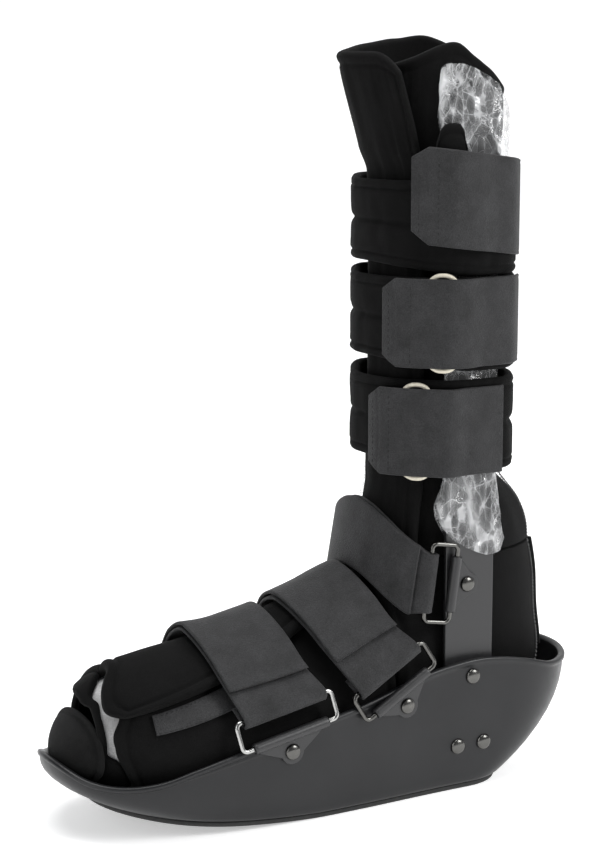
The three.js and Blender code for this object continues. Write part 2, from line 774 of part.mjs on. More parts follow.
// The tab: a tube round the loop's lower bar, joined to a plate that narrows down to the rivet
const tabNose = headRadius + 2.5;
function tab({ bar, along, out, up, width }) {
  const third = along.clone().cross(up);
  const basis = new THREE.Matrix4().makeBasis(along, up, third);
  const outward = Math.sign(third.dot(out));
  const ring = new THREE.Shape().absarc(0, 0, foldRadius, 0, 2 * Math.PI, false);
  ring.holes.push(new THREE.Path().absarc(0, 0, wire + seat, 0, 2 * Math.PI, true));
  const half = width / 2 - loopHeight / 3;
  const tube = new THREE.ExtrudeGeometry(ring, { depth: 2 * half, bevelEnabled: false, curveSegments: 4 });
  tube.translate(0, 0, -half).rotateY(Math.PI / 2);
  const neck = -wire - 2 * seat;
  const outline = new THREE.Shape();
  outline.moveTo(-half, neck);
  outline.lineTo(-tabNose, -tabDrop + 2);
  outline.absarc(0, -tabDrop, tabNose, Math.PI, 2 * Math.PI, false);
  outline.lineTo(half, neck);
  outline.closePath();
  outline.holes.push(new THREE.Path().absarc(0, -tabDrop, shankRadius + seat, 0, 2 * Math.PI, true));
  const options = { depth: tabSheet, bevelEnabled: false, curveSegments: 4 };
  const plate = new THREE.ExtrudeGeometry(outline, options);
  plate.translate(0, 0, outward > 0 ? -foldRadius : foldRadius - tabSheet);
  return join(tube, plate).applyMatrix4(basis).translate(bar.x, bar.y, bar.z);
}

function tabRivetPoint({ bar, up, out }) {
  const down = bar.clone().addScaledVector(up, -tabDrop);
  return down.addScaledVector(out, tabSheet + seat - foldRadius);
}

// Frames of the six loops. The forefoot and instep ones stand on the shell's wall, `below` its
// rim. `at` is the share of the shell's length from the heel, and `ridge` that of the strap's
// middle on top of the foot.
const shellLoops = [
  { strap: "forefoot", at: 0.636, ridge: 0.679, strapWidth: forefootStrap, below: -1, slope: 11, lean: 12 },
  { strap: "instep", at: 0.418, ridge: 0.51, strapWidth: instepStrap, below: 2, slope: 30, lean: 9 },
];
const placeX = (at) => heelBack - at * shellLength;
const ankleBarX = uprightX - uprightWidth / 2 + 3;
const ankleBarTurn = 8;
const sides = [{ name: "left", side: -1 }, { name: "right", side: 1 }];
const frames = {};
for (const { name, side } of sides) {
  for (const { strap, at, strapWidth, below, slope, lean } of shellLoops) {
    const x = placeX(at);
    const z = rimZ(x) - below;
    const { out } = wallFrame(x, z - tabDrop / 2, side);
    const proud = wallHalf(x, z - tabDrop / 2) + foldRadius + seat;
    const slopeWay = V(Math.cos(rad(slope)), 0, Math.sin(rad(slope)));
    const bar = V(x, side * proud, z);
    frames[`${strap}_${name}`] = loopFrame(bar, slopeWay, out, lean, strapWidth + 8);
  }
  const out = V(0, side, 0);
  const bar = V(ankleBarX, side * (uprightOuter + seat + foldRadius), ankleLoopZ);
  const upward = V(Math.sin(rad(ankleBarTurn)), 0, Math.cos(rad(ankleBarTurn)));
  frames[`ankle_${name}`] = loopFrame(bar, upward, out, 6, ankleStrap + 5);
}

// Straps: one length of webbing. Its end is sewn behind the left bar. It turns under that bar,
// crosses to the right bar, turns under it and lies back over itself, to end above the left bar.
const wrapRadius = wire + 0.8 * slack + webbing / 2;
const layerStep = webbing + slack;
function wrap({ top, along, away, rise }, shift) {
  return range(6).map((k) => {
    const a = Math.PI * (1 + k / 4.2);
    const p = top.clone().addScaledVector(along, shift);
    p.addScaledVector(away, wrapRadius * Math.cos(a));
    return p.addScaledVector(rise, wrapRadius * Math.sin(a));
  });
}

function strapSheet(left, right, atBar, crossing) {
  const columns = [-0.5, 0, 0.5].map((v) => {
    const leftWrap = wrap(left, v * atBar);
    const rightWrap = wrap(right, v * atBar);
    const under = crossing(v, 0);
    const over = crossing(v, 1);
    const way = under[0].clone().sub(leftWrap[5]).normalize();
    const end = leftWrap[0].clone().addScaledVector(way, strapReturn);
    const off = left.away.clone().addScaledVector(way, -left.away.dot(way)).normalize();
    const free = under[0].clone().lerp(leftWrap[5], freeEnd).addScaledVector(off, layerStep);
    return [end, ...leftWrap, ...under, ...rightWrap, ...over.reverse(), free];
  });
  const grid = range(columns[0].length).map((i) => columns.map((points) => points[i]));
  return sheet(grid, -webbing / 2, webbing / 2, (p) => V(p.x, 0, 0));
}

// The middle of the webbing over the foot, from one shoulder of the foot to the other
const shoulder = 138;
const freeEnd = 0.32; // the upper layer's end, as a share of the way from the shoulder to the bar
function footCrossing(left, ridge, width) {
  return (v, layer) =>
    range(9).map((i) => {
      const angle = lerp(shoulder, 180 - shoulder, i / 8);
      const rise = Math.sin(rad(angle));
      const x = lerp(left.top.x, ridge, rise ** 1.5) + v * width * lerp(0.98, 0.94, rise);
      const flapLift = Math.max(raised(x, angle), raised(x, angle + 9), 0.8 * raised(x, angle + 20));
      const tilt = toeLift * Math.max(-v, 0) * rise ** 4;
      return footPoint(x, angle, flapLift + 1.4 * slack + webbing / 2 + layer * layerStep + tilt);
    });
}

// The ankle strap goes round the front of the ankle and climbs towards it.
const ankleTurn = 66; // the angle of the strap's shoulders from its front
const ankleTilt = 10; // the strap leans back over its width
function ankleCrossing(left, width) {
  return (v, layer) => {
    const half = Math.abs(left.top.y) + layer * layerStep;
    const front = ankleReach + layer * layerStep;
    return range(9).map((i) => {
      const a = rad(lerp(ankleTurn, -ankleTurn, i / 8));
      const across = v * width;
      const x = left.top.x - front * Math.cos(a) + across * Math.sin(rad(ankleTilt));
      const z = left.top.z + ankleRise * Math.cos(a) ** 2.4 + across * Math.cos(rad(ankleTilt));
      return V(x, -half * Math.sin(a), z);
    });
  };
}

// The toe cap: a foam cup in the toe of the shell, open to the rear. `at` runs from its tip to
// its rear edge.
const capRows = [
  { at: 0, half: 0.2, low: 1, top: 0 },
  { at: 0.12, half: 0.42, low: 0.82, top: 0.14 },
  { at: 0.35, half: 0.7, low: 0.5, top: 0.42 },
  { at: 0.65, half: 0.88, low: 0.2, top: 0.74 },
  { at: 1, half: 1, low: 0, top: 1 },
];
const capFront = toeEnd + wall + slack;
const capHalf = halfWidth(shareAt(capFront + capRoll)) - wall - 2 * slack;
function capRing({ at, half, low, top }, inset) {
  const bottom = lerp(capFoot, capTip, low) + inset;
  const ridge = lerp(capTip + 5, capTop, top) - inset;
  const [middle, rise] = [(bottom + ridge) / 2, (ridge - bottom) / 2];
  return range(16).map((k) => {
    const a = (k / 16) * 2 * Math.PI;
    const z = middle + rise * bent(Math.cos(a), 2);
    const y = (capHalf * half - inset) * bent(Math.sin(a), 2.2);
    const lean = (capLean * at * (z - capFoot)) / (capTop - capFoot);
    return V(capFront + capRoll * at - lean + (at < 1 ? inset * (1 - at) : 0), y, z);
  });
}
function toeCap() {
  const outer = capRows.map((row) => capRing(row, 0));
  const inner = capRows.slice(2).map((row) => capRing(row, capWall)).reverse();
  return stack([...outer, ...inner]);
}

// The grey hook strip that is sewn to the left flap and runs under the forefoot strap
function hookStrip() {
  const grid = range(6).map((i) => {
    const x = lerp(footFront + 5, footFront + 53, i / 5);
    return [18, 10, 2].map((turn) => footPoint(x, rightEdge(x) + turn, slack + seat));
  });
  return sheet(grid, 0, 1.2, footCore);
}

// The seam fin down the back of the heel, a little to its left
const seamAngle = 258;
const seamHalf = 1.1;
function backSeam() {
  const grid = range(8).map((i) => {
    const middle = heelPoint(lerp(60, 88.5, i / 7), seamAngle, 1.5 * slack);
    return [-seamHalf, seamHalf].map((v) => middle.clone().setY(middle.y + v));
  });
  return sheet(grid, 0, 2.4, (p) => V(0, 0, p.z));
}

// A sleeve of film round each upright, squeezed narrow behind the calf bands
const sleeveRows = [
  { at: 0, wide: 1 },
  { at: 0.07, wide: 1 },
  { at: 0.13, wide: 0 },
  { at: 0.77, wide: 0 },
  { at: 0.85, wide: 1 },
  { at: 1, wide: 1 },
];
function sleeve(side) {
  const around = [
    [-1, -0.5], [-0.94, -1], [0, -1], [0.94, -1], [1, -0.5],
    [1, 0.5], [0.94, 1], [0, 1], [-0.94, 1], [-1, 0.5],
  ];
  const middle = (uprightOuter + uprightInner) / 2;
  const halfThick = uprightThickness / 2 + seat;
  const grid = around.map(([u, v]) =>
    sleeveRows.map(({ at, wide }) => {
      const z = lerp(sleeveFoot, sleeveTop, at) - (sleeveSlant * wide * (u + 1)) / 2;
      const width = lerp(squeezedSleeve, sleeveWidth, wide);
      return V(uprightX + (u * width) / 2, side * middle + v * halfThick, z);
    }),
  );
  return sheet(grid, 0, film, (p) => V(uprightX, side * middle, p.z), true);
}

// The assembly
const boot = new THREE.Group();
function add(name, geometry, material) {
  const mesh = new THREE.Mesh(geometry, material);
  mesh.name = name;
  boot.add(mesh);
}

const shellHoles = [];
const ankleRivet = tabRivetPoint(frames.ankle_left);
for (const { name, side } of sides) {
  const out = V(0, side, 0);
  for (const { name: place, x, z } of uprightRivets) {
    const point = V(x, side * (wallHalf(x, z) + 2 * seat), z);
    const shank = Math.abs(point.y) - uprightInner;
    add(`upright_rivet_${place}_${name}`, rivet(point, out, shank), metal);
    shellHoles.push(rivetHole(point, out, 3 * wall));
  }
  for (const { strap } of shellLoops) {
    const frame = frames[`${strap}_${name}`];
    const point = tabRivetPoint(frame);
    add(`${strap}_rivet_${name}`, rivet(point, frame.out, wall + tabSheet + 2 * seat), metal);
    shellHoles.push(rivetHole(point, frame.out, 3 * wall));
  }
  const ankleShank = uprightThickness + tabSheet + seat;
  add(`ankle_rivet_${name}`, rivet(tabRivetPoint(frames[`ankle_${name}`]), out, ankleShank), metal);
  add(`upright_${name}`, upright(side, ankleRivet), coated);
  add(`sleeve_${name}`, sleeve(side), clear);
  for (const strap of ["forefoot", "instep", "ankle"]) {
    const frame = frames[`${strap}_${name}`];
    add(`${strap}_loop_${name}`, strapLoop(frame), metal);
    add(`${strap}_tab_${name}`, tab(frame), coated);
  }
}
add("shell", shell(shellHoles), plastic);
add("outsole", outsole(), rubber);
add("foot_flap_left", leftFlap(), velour);
add("foot_flap_right", rightFlap(), velour);
add("toe_lining", toeLining(), lining);
add("toe_cap", toeCap(), velour);
add("heel_liner", heelLiner(), velour);
add("leg_liner", legLiner(), velour);
add("back_seam", backSeam(), velour);
add("hook_strip", hookStrip(), strapping);

for (const { strap, ridge, strapWidth } of shellLoops) {
  const [left, right] = [frames[`${strap}_left`], frames[`${strap}_right`]];
  const crossing = footCrossing(left, placeX(ridge), strapWidth);
  add(`${strap}_strap`, strapSheet(left, right, strapWidth, crossing), strapping);
}
const { ankle_left: ankleLeft, ankle_right: ankleRight } = frames;
const ankleAtLoops = 0.86 * ankleStrap; // the webbing bunches up in its loops
const ankleCross = ankleCrossing(ankleLeft, ankleStrap);
add("ankle_strap", strapSheet(ankleLeft, ankleRight, ankleAtLoops, ankleCross), strapping);

// `up` is the height of a strap's middle above the foot of its band. The angles are as in
// roundLeg: the strap's two ends, and where it bulges over the wire loop or the tongue.
const calfBands = [
  { name: "lower", bottom: lowerPad, up: 24, width: calfStrap, from: 196, to: 290, drop: 0, bulge: 223 },
  { name: "middle", bottom: middlePad, up: 28, width: calfStrap, from: 204, to: 312, drop: 0, bulge: 237 },
  { name: "upper", bottom: upperPad, up: 46, width: topCalfStrap, from: 220, to: 311, drop: 9, bulge: 247 },
];
for (const band of calfBands) {
  const top = band.name === "upper";
  add(`calf_pad_${band.name}`, calfPad(band.bottom, top ? padTongue : 0), velour);
  add(`calf_strap_${band.name}`, calfStrapSheet(band), strapping);
  if (!top) add(`calf_loop_${band.name}`, calfLoop(band), ivory);
}

export default boot;
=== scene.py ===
"""A tall medical walking boot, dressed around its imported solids. Lengths are in millimetres until
a mesh is made. +Z is up, the toe points along -X and the wearer's left side is -Y."""

import math

import bpy
import numpy as np
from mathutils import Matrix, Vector, noise


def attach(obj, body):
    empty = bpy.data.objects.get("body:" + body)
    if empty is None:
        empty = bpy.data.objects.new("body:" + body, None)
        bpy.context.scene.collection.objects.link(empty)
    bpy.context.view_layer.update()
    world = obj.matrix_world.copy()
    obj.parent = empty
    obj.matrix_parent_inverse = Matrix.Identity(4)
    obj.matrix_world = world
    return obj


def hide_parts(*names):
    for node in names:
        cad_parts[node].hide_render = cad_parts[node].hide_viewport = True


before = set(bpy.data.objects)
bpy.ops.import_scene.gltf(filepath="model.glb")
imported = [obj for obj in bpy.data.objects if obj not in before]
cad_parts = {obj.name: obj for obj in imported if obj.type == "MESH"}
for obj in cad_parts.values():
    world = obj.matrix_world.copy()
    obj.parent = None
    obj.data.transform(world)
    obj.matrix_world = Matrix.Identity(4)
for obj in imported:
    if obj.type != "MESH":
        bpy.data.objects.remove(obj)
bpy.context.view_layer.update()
scene = bpy.context.scene
MM = 0.001

# Sizes, as in the solids
SEAT, SLACK = 0.35, 1.2
SHELL_LENGTH, HEEL_BACK, SHELL_HALF, HEEL_HALF = 330, 88, 58, 50.5
RIM_HEIGHT, WALL, FLOOR, OUTSOLE = 79, 3, 3.5, 3
TOE_SPRING, HEEL_TUCK, TOE_TUCK, SIDE_TUCK = 14, 48, 24, 4.5
UPRIGHT_WIDTH, UPRIGHT_THICKNESS, UPRIGHT_FOOT, UPRIGHT_TOP, UPRIGHT_X = 32, 3, 19, 404, 2.3
SHANK, HEAD, HEAD_HEIGHT = 2.2, 4.6, 2.3
LINER_WALL, LINING_WALL, LINER_HEIGHT = 6, 2, 440
LEG_NARROWING, FRONT_NARROWING, LEG_HALF_DEPTH, LEG_X = 0.9, 0.87, 40.5, 1.8
INSTEP_X, INSTEP_Z, HEEL_REACH, FOOT_HEIGHT = -46, 138, 157, 134
TOE_OPENING, LINING_REACH, LINING_DEPTH = 41, 13, 53
FLAP_CORNER, FLAP_REACH, FRONT_FLAP_LEAN, FRONT_FLAP_BASE = 9, 16.5, 17, 357
CAP_WALL, CAP_TOP, CAP_TIP, CAP_FOOT, CAP_ROLL = 6.3, 66.5, 43, 28, 17
WEBBING, FOREFOOT_STRAP, INSTEP_STRAP, ANKLE_STRAP, STRAP_RETURN = 2, 52, 45, 40, 9
TOE_LIFT, ANKLE_REACH, ANKLE_RISE = 3, 21, 24
CALF_STRAP, TOP_CALF_STRAP, WIRE, LOOP_HEIGHT, TAB_SHEET, TAB_DROP = 50, 54, 1.4, 19, 1.3, 10.5
ANKLE_LOOP_Z, CALF_WIRE, CALF_LOOP_WIDTH = 124, 1.3, 17
PAD_THICKNESS, PAD_HEIGHT, LOWER_PAD, MIDDLE_PAD, UPPER_PAD, PAD_TONGUE = 5.5, 53, 189, 246.5, 300, 32
FILM, SLEEVE_WIDTH, SQUEEZED, SLEEVE_FOOT, SLEEVE_TOP, SLEEVE_SLANT = 0.5, 45, 35, 151, 422, 18


def lerp(a, b, t):
    return a + (b - a) * t


def clamp(x, low=0.0, high=1.0):
    return min(max(x, low), high)


def ease(x, low, high):
    t = clamp((x - low) / (high - low))
    return t * t * (3 - 2 * t)


def rad(degrees):
    return math.radians(degrees)


def column(rows, key):
    """Smooth value of one column of a table whose rows are sorted by their first value."""
    at = [row[0] for row in rows]
    value = [row[key] for row in rows]
    last = len(rows) - 1
    slope = []
    for i in range(last + 1):
        a, b = max(i - 1, 0), min(i + 1, last)
        slope.append((value[b] - value[a]) / (at[b] - at[a]))

    def read(x):
        i = 0
        while i < last - 1 and x > at[i + 1]:
            i += 1
        span = at[i + 1] - at[i]
        t = clamp((x - at[i]) / span)
        t2, t3 = t * t, t * t * t
        ends = value[i] * (2 * t3 - 3 * t2 + 1) + value[i + 1] * (3 * t2 - 2 * t3)
        return ends + span * (slope[i] * (t3 - 2 * t2 + t) + slope[i + 1] * (t3 - t2))

    return read


# Shapes shared with the solids

RIM_ROWS = [
    (0, 0.873), (0.037, 0.861), (0.089, 0.873), (0.144, 0.937), (0.196, 0.981), (0.248, 1),
    (0.298, 0.987), (0.359, 0.949), (0.485, 0.81), (0.555, 0.747), (0.724, 0.608), (0.804, 0.532),
    (0.862, 0.465), (0.92, 0.44), (0.965, 0.47), (1, 0.565),
]
ROCKER_ROWS = [(0, 0), (0.5, 0), (0.58, 0.02), (0.69, 0.2), (0.8, 0.52), (0.89, 0.88), (1, 1.35)]
rim_share = column(RIM_ROWS, 1)
lift_share = column(ROCKER_ROWS, 1)
HEEL_ROUND, TOE_ROUND = 0.16, 0.26
SHELL_MIDDLE = HEEL_BACK - 0.454 * SHELL_LENGTH
HEEL_LENGTH = HEEL_BACK - SHELL_MIDDLE
TOE_LENGTH = SHELL_LENGTH - HEEL_LENGTH
TOE_END = HEEL_BACK - SHELL_LENGTH
FOOT_FRONT = TOE_END + TOE_OPENING


def share_at(x):
    return clamp((HEEL_BACK - x) / SHELL_LENGTH)


def rim_z(x):
    return RIM_HEIGHT * rim_share(share_at(x))


def ground(x):
    return TOE_SPRING * lift_share(share_at(x))


def sole_top(x):
    return ground(x) + OUTSOLE + SEAT


def half_width(at):
    base = lerp(HEEL_HALF, SHELL_HALF, ease(at, 0.1, 0.7))
    heel = clamp((HEEL_ROUND - at) / HEEL_ROUND)
    toe = clamp((at - 1 + TOE_ROUND) / TOE_ROUND)
    return base * math.sqrt(1 - heel**2.3) * math.sqrt(1 - toe**2.4)


def tucked_x(x, level):
    away = 1 - clamp(level)
    heel = 1 - (HEEL_TUCK / HEEL_LENGTH) * away**2.2
    toe = 1 - (TOE_TUCK / TOE_LENGTH) * away**3.6
    return SHELL_MIDDLE + (x - SHELL_MIDDLE) * (heel if x > SHELL_MIDDLE else toe)


def tucked_half(half, level):
    return half * (1 - (SIDE_TUCK / SHELL_HALF) * (1 - clamp(level)) ** 3)


def wall_half(x, z):
    level = 0.5
    rim = x
    for _ in range(12):
        rim = SHELL_MIDDLE + (x - SHELL_MIDDLE) ** 2 / (tucked_x(x, level) - SHELL_MIDDLE)
        level = clamp((z - sole_top(x)) / (rim_z(rim) - sole_top(x)))
    return tucked_half(half_width(share_at(rim)), level)


def wall_out(x, z, side):
    step = 3
    slope_x = (wall_half(x + step, z) - wall_half(x - step, z)) / (2 * step)
    slope_z = (wall_half(x, z + step) - wall_half(x, z - step)) / (2 * step)
    return Vector((-slope_x, side, -slope_z)).normalized()


NARROWEST = min(
    wall_half(UPRIGHT_X - UPRIGHT_WIDTH / 2, UPRIGHT_FOOT),
    wall_half(UPRIGHT_X + UPRIGHT_WIDTH / 2, UPRIGHT_FOOT),
)
UPRIGHT_OUTER = NARROWEST * ((SHELL_HALF - WALL) / SHELL_HALF) - SLACK
UPRIGHT_INNER = UPRIGHT_OUTER - UPRIGHT_THICKNESS


def bent(v, power):
    return math.copysign(abs(v) ** (2 / power), v)


FOOT_ROWS = [
    (0.2, 0.9, 1.1), (0.36, 0.92, 1.02), (0.411, 0.94, 0.975), (0.466, 0.96, 0.93),
    (0.53, 0.97, 0.865), (0.605, 0.97, 0.805), (0.69, 0.97, 0.765), (0.77, 0.98, 0.75),
    (0.84, 0.97, 0.74), (0.9, 0.93, 0.72), (0.94, 0.86, 0.665),
]
foot_half_share = column(FOOT_ROWS, 1)
foot_ridge_share = column(FOOT_ROWS, 2)
FOOT_TOP_POWER, FOOT_SOLE_POWER = 1.6, 2.6
LAP = LINER_WALL + 1.6 * SLACK


def foot_point(x, degrees, offset=0.0):
    """A point on the foot: 0 is the right side, 90 the ridge, 180 the left side, 270 the sole."""
    at = share_at(x)
    low = sole_top(x) + FLOOR + SLACK
    high = FOOT_HEIGHT * foot_ridge_share(at) - LAP
    half = (half_width(at) - WALL - SLACK) * foot_half_share(at)
    rise = (high - low) / 2
    a = rad(degrees)
    power = FOOT_TOP_POWER if math.sin(a) > 0 else FOOT_SOLE_POWER
    y = (half + offset) * bent(math.cos(a), power)
    return (x, y, low + rise + (rise + offset) * bent(math.sin(a), power))


OVERLAP_TURN = 27


def right_edge(x):
    return lerp(149, 104, (x - FOOT_FRONT) / (INSTEP_X - FOOT_FRONT))


def raised(x, angle):
    edge = right_edge(x) - OVERLAP_TURN
    return LAP * ease(angle, edge - 40, edge - 12)


HEEL_ROWS = [
    (0, 0.828, 1.15), (6, 0.832, 1.1), (12, 0.845, 1), (20, 0.88, 1), (30, 0.95, 1), (38, 0.985, 1),
    (46, 0.975, 1), (57, 0.925, 1), (69, 0.817, 1), (81, 0.761, 1), (90, 0.726, 1),
]
heel_reach_share = column(HEEL_ROWS, 1)
heel_half_share = column(HEEL_ROWS, 2)
CREASE_GAP, HEEL_BACK_POWER = 4, 1.8
LEG_HALF = UPRIGHT_INNER - 2 * SEAT - FILM


def heel_point(turn, degrees, offset):
    a = rad(degrees)
    far = HEEL_REACH * heel_reach_share(turn)
    middle, spread = (far + CREASE_GAP) / 2, (far - CREASE_GAP) / 2
    back = lerp(FOOT_SOLE_POWER, HEEL_BACK_POWER, ease(turn, 10, 60))
    power = 2 if math.sin(a) > 0 else back
    out = middle - (spread + offset) * bent(math.sin(a), power)
    y = (LEG_HALF * heel_half_share(turn) + offset) * bent(math.cos(a), power)
    return (INSTEP_X + out * math.sin(rad(turn)), y, INSTEP_Z - out * math.cos(rad(turn)))


LEG_ROWS = [
    (0, 1, 1.6), (0.043, 0.98, 1.46), (0.086, 0.94, 1.28), (0.113, 0.9, 1.12),
    (0.135, FRONT_NARROWING, 0.98), (0.155, FRONT_NARROWING, LEG_NARROWING),
    (0.72, FRONT_NARROWING, LEG_NARROWING), (0.77, 0.98, 1), (1, 1, 1),
]
leg_front_share = column(LEG_ROWS, 1)
leg_back_share = column(LEG_ROWS, 2)


def leg_share(z):
    return clamp((z - INSTEP_Z) / (LINER_HEIGHT - INSTEP_Z))


def round_leg(z, degrees, front, back, half, power):
    """A point round the leg: 0 behind, 90 the right side, 180 in front, 270 the left side."""
    a = rad(degrees)
    depth = back if math.cos(a) > 0 else front
    return (LEG_X + depth * bent(math.cos(a), power), half * bent(math.sin(a), power), z)


def leg_point(z, degrees, offset):
    front = LEG_HALF_DEPTH * leg_front_share(leg_share(z)) + offset
    back = LEG_HALF_DEPTH * leg_back_share(leg_share(z)) + offset
    behind = math.cos(rad(degrees)) > 0
    power = lerp(HEEL_BACK_POWER, 2, ease(leg_share(z), 0.05, 0.16)) if behind else 2
    return round_leg(z, degrees, front, back, LEG_HALF + offset, power)


COLLAR_ROWS = [
    (196, 0.945), (220, 0.955), (248, 0.972), (262, 0.972), (275, 0.955), (290, 0.935),
    (312, 0.915), (335, 0.908), (360, 0.915), (385, 0.938), (410, 0.963), (450, 0.978),
    (490, 0.972), (530, 0.962), (600, 0.962),
]
collar_share = column(COLLAR_ROWS, 1)
LEG_START, LAP_END = 200, 590

LEG_SKIN = LINER_WALL + 2 * SLACK - LAP
PAD_FRONT = LEG_HALF_DEPTH * FRONT_NARROWING + LEG_SKIN
PAD_BACK = LEG_HALF_DEPTH * LEG_NARROWING + LEG_SKIN
BAR_EDGE = max(
    (SQUEEZED / 2 + UPRIGHT_X - LEG_X) / PAD_BACK,
    (SQUEEZED / 2 - UPRIGHT_X + LEG_X) / PAD_FRONT,
)
PAD_ROOM = UPRIGHT_OUTER + FILM + SLACK + 2 * SEAT
PAD_HALF = PAD_ROOM / math.sqrt(1 - BAR_EDGE**2)


def pad_point(z, degrees, offset):
    """As round the leg, but pressed nearly flat beside the uprights."""
    lapped = LAP * ease(degrees, 146, 180) * (1 - ease(degrees, 206, 240))
    front = PAD_FRONT + offset + lapped
    x, y, z = round_leg(z, degrees, front, PAD_BACK + offset, PAD_HALF + offset, 2)
    flat = PAD_ROOM + offset + 0.4
    proud = abs(y) - flat
    soft = 2.5
    if proud > soft:
        y = math.copysign(flat + 0.15 * proud, y)
    elif proud > -soft:
        y = math.copysign(flat + (proud - (0.85 * (proud + soft) ** 2) / (4 * soft)), y)
    return (x, y, z)


# Materials


def shader(name):
    material = bpy.data.materials.new(name)
    material.use_nodes = True
    nodes = material.node_tree.nodes
    place = nodes.new("ShaderNodeTexCoord").outputs["Object"]
    return material, nodes, material.node_tree.links, nodes["Principled BSDF"], place


def node(nodes, kind, values=None, **settings):
    made = nodes.new(kind)
    for key, value in settings.items():
        setattr(made, key, value)
    for key, value in (values or {}).items():
        made.inputs[key].default_value = value
    return made


def ramp(nodes, stops):
    made = nodes.new("ShaderNodeValToRGB")
    elements = made.color_ramp.elements
    while len(elements) < len(stops):
        elements.new(0.5)
    for element, (position, value) in zip(elements, stops):
        element.position = position
        element.color = (*value, 1) if isinstance(value, tuple) else (value, value, value, 1)
    return made


def ramped(nodes, links, value, stops, target):
    """Send a value through a colour ramp to a socket."""
    made = ramp(nodes, stops)
    links.new(value, made.inputs["Fac"])
    links.new(made.outputs["Color"], target)


def combined(nodes, links, operation, first, second):
    made = node(nodes, "ShaderNodeMath", operation=operation)
    links.new(first, made.inputs[0])
    links.new(second, made.inputs[1])
    return made.outputs["Value"]


def set_surface(bsdf, **values):
    for key, value in values.items():
        bsdf.inputs[key.replace("_", " ")].default_value = value


def noisy(nodes, links, vector, scale, detail=4, roughness=0.6):
    made = node(
        nodes, "ShaderNodeTexNoise", {"Scale": scale, "Detail": detail, "Roughness": roughness}
    )
    links.new(vector, made.inputs["Vector"])
    return made.outputs["Fac"]


def bump(nodes, links, height, distance, strength=1.0, below=None):
    made = node(nodes, "ShaderNodeBump", {"Strength": strength, "Distance": distance})
    links.new(height, made.inputs["Height"])
    if below is not None:
        links.new(below, made.inputs["Normal"])
    return made.outputs["Normal"]


def fabric(name, dark, light, sheen, fibre_scale, depth, patch=55):
    """Cloth with a short pile: brushed patches, fine fibres and a soft sheen."""
    material, nodes, links, bsdf, vector = shader(name)
    patches = noisy(nodes, links, vector, patch, 5, 0.65)
    fibres = noisy(nodes, links, vector, fibre_scale, 3, 0.7)
    both = combined(nodes, links, "MULTIPLY", patches, fibres)
    ramped(nodes, links, both, [(0.12, dark), (0.42, light)], bsdf.inputs["Base Color"])
    soft = bump(nodes, links, patches, 0.0008, 0.6)
    fine = bump(nodes, links, fibres, depth, 0.9, soft)
    links.new(fine, bsdf.inputs["Normal"])
    set_surface(bsdf, Roughness=0.92, Sheen_Weight=sheen, Sheen_Roughness=0.45, Specular_IOR_Level=0.15)
    return material


def webbing_material():
    """Grey webbing: fine loops over small woven cells."""
    material, nodes, links, bsdf, vector = shader("webbing")
    loops = noisy(nodes, links, vector, 1500, 2, 0.5)
    patches = noisy(nodes, links, vector, 70, 5, 0.7)
    cells = node(nodes, "ShaderNodeTexVoronoi", {"Scale": 1250.0})
    links.new(vector, cells.inputs["Vector"])
    mixed = combined(nodes, links, "MULTIPLY", loops, patches)
    greys = [(0.1, (0.006, 0.006, 0.0062)), (0.4, (0.028, 0.028, 0.0295))]
    ramped(nodes, links, mixed, greys, bsdf.inputs["Base Color"])
    woven = bump(nodes, links, cells.outputs["Distance"], 0.0004, 0.6)
    links.new(bump(nodes, links, loops, 0.0003, 0.7, woven), bsdf.inputs["Normal"])
    set_surface(bsdf, Roughness=0.7, Sheen_Weight=0.06, Sheen_Roughness=0.4, Specular_IOR_Level=0.3)
    return material


def plastic_material():
    """Satin moulded plastic: slow changes of tone, fine grain and faint scuffs."""
    material, nodes, links, bsdf, vector = shader("shell_plastic")
    broad = noisy(nodes, links, vector, 18, 3, 0.5)
    grain = noisy(nodes, links, vector, 1400, 2, 0.5)
    scuffs = noisy(nodes, links, vector, 160, 8, 0.75)
    greys = [(0.35, (0.006, 0.0062, 0.007)), (0.65, (0.0095, 0.0098, 0.0108))]
    ramped(nodes, links, broad, greys, bsdf.inputs["Base Color"])
    ramped(nodes, links, scuffs, [(0.3, 0.3), (0.7, 0.44)], bsdf.inputs["Roughness"])
    links.new(bump(nodes, links, grain, 0.00012, 0.35), bsdf.inputs["Normal"])
    set_surface(bsdf, Specular_IOR_Level=0.32)
    return material


def metal_material(name, colour, low, high, grain_scale, metallic=1.0, depth=0.00005):
    """Bare or coated metal, between its lowest and highest roughness where it is worn."""
    material, nodes, links, bsdf, vector = shader(name)
    wear = noisy(nodes, links, vector, 220, 6, 0.7)
    grain = noisy(nodes, links, vector, grain_scale, 3, 0.6)
    worn = tuple(0.8 * c for c in colour)
    ramped(nodes, links, wear, [(0.3, worn), (0.7, colour)], bsdf.inputs["Base Color"])
    ramped(nodes, links, wear, [(0.3, low), (0.7, high)], bsdf.inputs["Roughness"])
    links.new(bump(nodes, links, grain, depth, 0.5), bsdf.inputs["Normal"])
    set_surface(bsdf, Metallic=metallic)
    return material


# Painted highlights on the film: alpha ramps that turn the white film opaque on facets (painted glare)
# and in thin lines along the creases (painted glints)
FACET_PAINTED_GLARE = [(0.3, 0.05), (0.62, 0.15), (0.88, 0.5)]
CREASE_PAINTED_GLARE = [(0.0, 0.5), (0.03, 0.0)]


